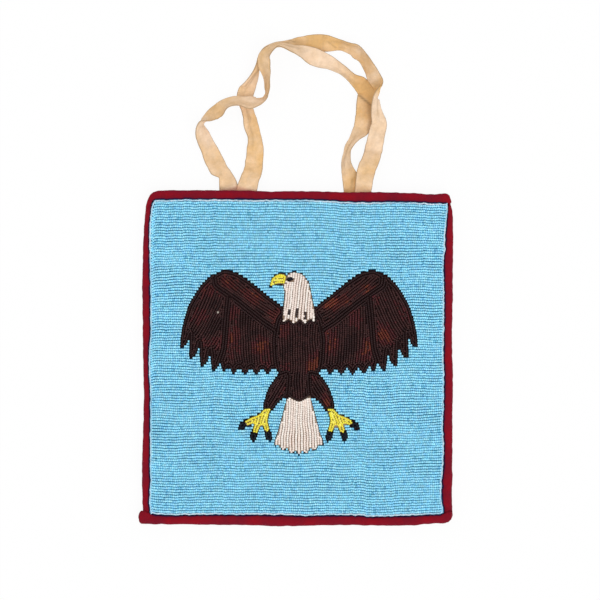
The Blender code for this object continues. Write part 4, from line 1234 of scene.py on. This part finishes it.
frontRoute = [
    (-40.3, 1, 0, 1.23, 0.3), (-38, 9.1, -8, 1.15, 0.5), (-35.4, 16.4, -8, 1.14, 0.65),
    (-34.3, 24.4, 0, 1.08, 0.65), (-33.5, 33.5, 10, 1.02, 0.8), (-34.1, 43.1, 20, 0.88, 0.85),
    (-36.7, 52.4, 18, 0.92, 0.5), (-38.9, 62.1, 28, 0.84, 0.55), (-41.1, 70.6, 22, 0.91, 0.5),
    (-41.4, 78, -11, 1.01, 0.4), (-37.9, 85.5, 25, 0.82, 0.3), (-33.6, 93.2, 56, 0.75, 0.35),
    (-30.6, 100, 78, 0.8, 0.5), (-29.4, 107.8, 91, 0.8, 0.5), (-25.4, 114.2, 94, 0.73, 0.5),
    (-18.2, 117.2, 99, 0.66, 0.55), (-10.7, 117.6, 123, 0.65, 0.6), (-3.6, 117.8, 144, 0.78, 0.7),
    (4.5, 118.4, 176, 0.9, 0.8), (14.1, 119.6, 168, 0.95, 0.9), (24.3, 118.6, 191, 1.03, 0.9),
    (34.1, 117.5, 206, 0.72, 0.85), (41.9, 114.9, 224, 0.86, 0.8), (47.5, 112.4, 225, 1.04, 0.6),
    (53.4, 106.4, 236, 1.05, 0.55), (58.4, 97.9, 224, 0.96, 0.6), (61.6, 91.7, 216, 0.96, 0.5),
    (64.8, 86, 226, 0.99, 0.85), (64.9, 79.3, 262, 0.99, 0.95), (63.4, 72.3, 296, 0.92, 0.12),
    (63.4, 64, 322, 0.87, 0.1), (65.4, 53.9, 342, 1.03, 0.15), (63.5, 44.6, 366, 0.99, 0.2),
    (61.8, 35.5, 365, 1.08, 0.3), (59.6, 26.5, 376, 1.09, 0.4), (55.6, 17.1, 370, 1.11, 0.5),
    (54.1, 8.8, 350, 1.08, 0.35), (53, 1, 360, 1.01, 0.4),
]
handles = {   # rootLevel: lip, gap and half the hide; creases: lines of painted shade in creases and beside the other handle, as x, y, x, y past the mouth, width, depth
    "handle_back": {
        "node": "strap_back", "rootLevel": 3.1 + 0.3 + 0.6, "seed": 120, "isCut": True,
        "creases": [(50.0, 76.6, 59.3, 69.1, 0.85, 0.95), (57.8, 69.2, 58.8, 58.0, 1.7, 0.5),
                    (58.8, 58.0, 57.0, 49.5, 1.4, 0.35), (-21.6, 107.6, -15.2, 115.2, 1.1, 0.55),
                    (43.5, 3.0, 44.2, 9.0, 1.2, 0.4)],
    },
    "handle_front": {
        "node": "strap_front", "rootLevel": 7.3 - 0.3 - 0.6, "seed": 150, "isCut": False,
        "creases": [(-41.0, 84.5, -30.0, 98.5, 0.9, 0.5), (24.5, 120.2, 31.0, 115.2, 0.7, 0.4),
                    (-6.2, 121.3, -1.8, 119.8, 0.8, 0.6), (-40.2, 64.8, -37.0, 58.2, 0.6, 0.45),
                    (-37.0, 58.2, -39.2, 50.6, 0.6, 0.35)],
    },
}


def smoothLine(rows, steps):   # the smooth open curve through rows of numbers
    padded = [rows[0], *rows, rows[-1]]
    made = []
    for four in zip(padded, padded[1:], padded[2:], padded[3:]):
        a, b, c, d = (np.array(row, float) for row in four)
        for s in range(steps):
            t = s / steps
            straight = 2 * b + (c - a) * t
            bend = (2 * a - 5 * b + 4 * c - d) * t * t
            made.append(0.5 * (straight + bend + (3 * b - a - 3 * c + d) * t ** 3))
    return np.array([*made, rows[-1]])


def strapFrames(route, rootLevel):   # rows of x, y, roll, half width, lowest edge's height, golden tone
    tail, start, end = strap["tail"], route[0], route[-1]
    lean = [(b[0] - a[0]) / (b[1] - a[1]) for a, b in ((start, route[1]), (end, route[-2]))]
    flatRoll = round(end[2] / 180) * 180
    head = [(start[0] + lean[0] * (y - 1), y, start[2], 1, start[4]) for y in (-tail, -tail / 2)]
    foot = [(end[0] + lean[1] * (y - 1), y, flatRoll, 1, end[4]) for y in (-tail / 2, -tail)]
    x, y, turned, share, tone = smoothLine([*head, *route, *foot], strap["steps"]).T
    low = (rootLevel - strap["thickness"] / 2) * (1 - eased(y, 0, strap["landing"]))
    return np.column_stack([x, y + mouthTop, np.radians(turned), strap["width"] / 2 * share, low, tone])


def halfRise(frames):
    sine, cosine = np.abs(np.sin(frames[:, 2])), np.abs(np.cos(frames[:, 2]))
    return sine * frames[:, 3] + cosine * strap["thickness"] / 2


def halfSpread(frames):
    sine, cosine = np.abs(np.sin(frames[:, 2])), np.abs(np.cos(frames[:, 2]))
    return cosine * frames[:, 3] + sine * strap["thickness"] / 2


def layOver(upper, stretch, lower):   # lifts one handle clear of the other where it crosses over
    first, last = (round(share * len(upper)) for share in stretch)
    needed = upper[:, 4].copy()
    away = np.hypot(upper[:, None, 0] - lower[None, :, 0], upper[:, None, 1] - lower[None, :, 1])
    near = away < halfSpread(upper)[:, None] + halfSpread(lower)[None] + strap["clearance"]
    lift = np.where(near, (lower[:, 4] + 2 * halfRise(lower) + 2 * strap["clearance"])[None], 0).max(1)
    needed[first:last] = np.maximum(needed[first:last], lift[first:last])
    run = np.hypot(*np.diff(upper[:, :2], axis=0).T)
    for i in range(1, len(upper)):
        needed[i] = max(needed[i], needed[i - 1] - strap["slope"] * run[i - 1])
    for i in range(len(upper) - 2, -1, -1):
        needed[i] = max(needed[i], needed[i + 1] - strap["slope"] * run[i])
    upper[:, 4] = np.where(upper[:, 1] > mouthTop, needed, upper[:, 4])


backFrames = strapFrames(backRoute, handles["handle_back"]["rootLevel"])
frontFrames = strapFrames(frontRoute, handles["handle_front"]["rootLevel"])
layOver(backFrames, (0.2, 0.64), frontFrames)   # shares of the handle's length that lie on the other one
layOver(frontFrames, (0.56, 0.94), backFrames)


# how much painted shade the crease lines lay at each place
def creaseAt(x, y, lines):
    deepest = 0.0 * x
    for fromX, fromY, toX, toY, width, depth in lines:
        run = np.array([toX - fromX, toY - fromY])
        share = np.clip(((x - fromX) * run[0] + (y - mouthTop - fromY) * run[1]) / (run ** 2).sum(), 0, 1)
        away = np.hypot(x - fromX - share * run[0], y - mouthTop - fromY - share * run[1])
        deepest = np.maximum(deepest, depth * np.exp(-(away / width) ** 2))
    return deepest


def cutOff(frames, across, reach, beyond):   # room on the side that is cut off straight near the mouth
    cutX, cutY, slope = strap["cutPlace"]
    toSide = (frames[:, 0] - cutX) / np.maximum(-across[:, 0], 0.3)
    toStep = beyond - cutY - slope * (cutX - frames[:, 0])
    toStep = toStep / np.maximum(-across[:, 1] - slope * across[:, 0], 0.2)
    return np.where(reach < reach[-1] / 3, np.maximum(np.maximum(toSide, toStep), 1.0), 99)


def strapPiece(name, plan, frames):
    count, seed = len(frames), plan["seed"]
    reach = reachOf(frames)
    places = np.column_stack([frames[:, 0], frames[:, 1], frames[:, 4] + halfRise(frames)])
    forward = np.gradient(places, axis=0)
    forward /= np.linalg.norm(forward, axis=1)[:, None]
    side = np.column_stack([-forward[:, 1], forward[:, 0], np.zeros(count)])
    side /= np.linalg.norm(side, axis=1)[:, None]
    upward = np.cross(forward, side)
    turned = frames[:, 2][:, None]
    across = side * np.cos(turned) + upward * np.sin(turned)
    through = np.cross(forward, across)
    s = np.linspace(-1, 1, strap["around"])
    beyond = frames[:, 1] - mouthTop
    loose = eased(beyond, *strap["looseFrom"])[:, None]
    share = frames[:, 3] / (strap["width"] / 2)
    long, short = strap["ragLengths"]
    ragged = []
    for k in (0, 1):   # each edge has its own raggedness
        rags = wavesAlong(reach, long, seed + k) + 0.5 * wavesAlong(reach, short, seed + 3 + k)
        ragged.append(1 + strap["edgeSpread"] * loose[:, 0] * rags)
    halfWidth = np.where(s[None] < 0, ragged[0][:, None], ragged[1][:, None]) * frames[:, 3][:, None]
    if plan["isCut"]:
        room = cutOff(frames, across, reach, beyond)
        halfWidth = np.where(s[None] > 0, np.minimum(halfWidth, room[:, None]), halfWidth)
    flat = s[None] * halfWidth
    fullShare, least, most = strap["drawn"]
    drawn = np.clip(fullShare - share, least, most)[:, None]   # how far the soft hide is drawn together
    sway, length, valleyWidth = strap["valley"]
    valley = sway * wavesAlong(reach, length, seed + 7)[:, None]
    away, length, ridgeWidth = strap["ridge"]
    ridge = valley + away * np.sign(np.sin(reach / length + seed))[:, None]
    inFold = np.exp(-np.abs(s[None] - valley) / valleyWidth)
    onFold = np.exp(-np.abs(s[None] - ridge) / ridgeWidth)
    fold = strap["fold"] * drawn * (strap["ridgeShare"] * onFold - inFold)
    cup = strap["cup"] * (s[None] ** 2 - 0.4) * wavesAlong(reach, strap["cupLength"], seed + 8)[:, None]
    along = reach[:, None] + 0 * s[None]
    (fine, fineLength), (coarse, length) = strap["dimples"], strap["swell"]
    rough = fine * waves(along, flat, fineLength, seed + 9) + coarse * waves(along, flat, length, seed + 10)
    onEdge = (1 - np.abs(np.cos(turned))) ** 1.5   # where it turns over, it lies in a curve
    bow = strap["bow"] * onEdge * (0.33 - s[None] ** 2) * np.minimum(share, 1)[:, None]
    offset = loose * (fold + cup + rough + bow)
    half = strap["thickness"] / 2 * np.where(np.abs(s) > 0.99, strap["thinEdge"], 1.0)[None]
    under, top = (
        places[:, None] + across[:, None] * flat[..., None] + through[:, None] * (offset + step)[..., None]
        for step in (-half, half)
    )
    rings = np.concatenate([under, top[:, ::-1]], 1)
    lowest = rings[:, :, 2].min(1)
    rings[:, :, 2] += loose * np.maximum(frames[:, 4] - lowest, 0)[:, None]
    piece = makePiece(name, rings.reshape(-1, 3) * mm, closedLoft(rings), strapHide)
    edge = np.concatenate([np.abs(s), np.abs(s[::-1])])
    # painted red reflection from the wool on the handles just past the mouth, more on the left pair
    bounceShare = np.where(frames[:, 0] < 0, strap["bounceLeft"], strap["bounceRight"])
    bounceShare = bounceShare * (1 - eased(beyond, *strap["bounceUpTo"]))
    # painted shade along the folds: full in their valleys, 0.6 of it on their ridges, and along the crease
    # lines
    depth = np.clip(drawn * strap["creaseGain"], 0, 0.6) * loose
    drawnIn = np.concatenate([0.6 * depth * onFold, (depth * inFold)[:, ::-1]], 1)
    creaseShaded = creaseAt(rings[:, :, 0], rings[:, :, 1], plan["creases"])
    addMark(piece, "edgePlace", np.tile(edge, count))
    addMark(piece, "goldenTone", np.repeat(frames[:, 5], 2 * len(s)))
    addMark(piece, "redBounce", np.repeat(bounceShare, 2 * len(s)))
    addMark(piece, "creaseShade", np.maximum(drawnIn, creaseShaded).ravel())
    finishPiece(piece, plan["node"])
    length = float(np.linalg.norm(np.diff(places, axis=0), axis=1).sum())
    print(f"{name}: {length:.0f} mm long")


strapPiece("handle_back", handles["handle_back"], backFrames)
strapPiece("handle_front", handles["handle_front"], frontFrames)
print("handles ready")


# Floor, light and camera

studio = {
    "floorHalf": 12.0, "floorDrop": 0.05, "floorWhite": 0.93, "ambient": 0.55,
    "keyLight": {"strength": 1.35, "tilt": 32, "heading": 35, "spread": 50},
    "fillLight": {"strength": 0.6, "tilt": 40, "heading": -140, "spread": 70},
}
view = {"centre": (2.4, 46.4), "across": 480.0, "away": 3000.0, "sensor": 36.0}


def makeFloor():
    material, tree, shader, place = newMaterial("palePaper", Roughness=0.9, Specular_IOR_Level=0.1)
    grain = placeGroup(tree, blotches, {
        "Place": place, "Main Colour": colour(0.93, 0.93, 0.93), "Patch Colour": colour(0.92, 0.92, 0.92),
        "Patches per Metre": 30.0, "Amount": 0.5,
    })
    tree.links.new(grain["Colour"], shader.inputs["Base Color"])
    path = put(tree, "ShaderNodeLightPath").outputs
    reflected = mathOf(tree, "MAXIMUM", path["Is Glossy Ray"], path["Is Transmission Ray"])
    seen = mathOf(tree, "MAXIMUM", path["Is Camera Ray"], reflected)
    white = put(tree, "ShaderNodeEmission", {"Color": colour(1, 1, 1), "Strength": 1.0})
    share = mathOf(tree, "MULTIPLY", seen, studio["floorWhite"])
    mixed = put(tree, "ShaderNodeMixShader", {0: share, 1: shader.outputs[0], 2: white.outputs[0]})
    tree.links.new(mixed.outputs[0], tree.nodes["Material Output"].inputs["Surface"])
    half = studio["floorHalf"]
    corners = [(-half, -half, 0), (half, -half, 0), (half, half, 0), (-half, half, 0)]
    floor = makePiece("studio_floor", corners, [(0, 1, 2, 3)], material, False)
    floor.location.z = -studio["floorDrop"] * mm


def makeSun(name):
    plan = studio[name]
    lamp = bpy.data.lights.new(name, "SUN")
    lamp.energy = plan["strength"]
    lamp.angle = math.radians(plan["spread"])
    holder = bpy.data.objects.new(name, lamp)
    holder.rotation_euler = (math.radians(plan["tilt"]), 0, math.radians(plan["heading"]))
    holder.location = (0, 0, 2)
    scene.collection.objects.link(holder)


def makeWorld():
    world = bpy.data.worlds.new("studioWorld")
    scene.world = world
    world.use_nodes = True
    tree = world.node_tree
    shown = put(tree, "ShaderNodeLightPath").outputs["Is Camera Ray"]
    strength = mathOf(tree, "MULTIPLY_ADD", shown, 1 - studio["ambient"], studio["ambient"])
    background = tree.nodes["Background"]
    background.inputs["Color"].default_value = colour(1, 1, 1)
    tree.links.new(strength, background.inputs["Strength"])


def makeCamera():
    lens = bpy.data.cameras.new("camera")
    lens.sensor_width = view["sensor"]
    lens.lens = view["sensor"] * view["away"] / view["across"]
    lens.clip_end = 100
    camera = bpy.data.objects.new("camera", lens)
    camera.location = (view["centre"][0] * mm, view["centre"][1] * mm, (view["away"] + 10) * mm)
    scene.collection.objects.link(camera)
    scene.camera = camera


makeFloor()
makeSun("keyLight")
makeSun("fillLight")
makeWorld()
makeCamera()
scene.view_settings.view_transform = "Standard"

triangles = 0
for thing in scene.objects:
    if thing.type == "MESH" and not thing.hide_render:
        triangles += sum(face.loop_total - 2 for face in thing.data.polygons)
print(f"{triangles} triangles shown")
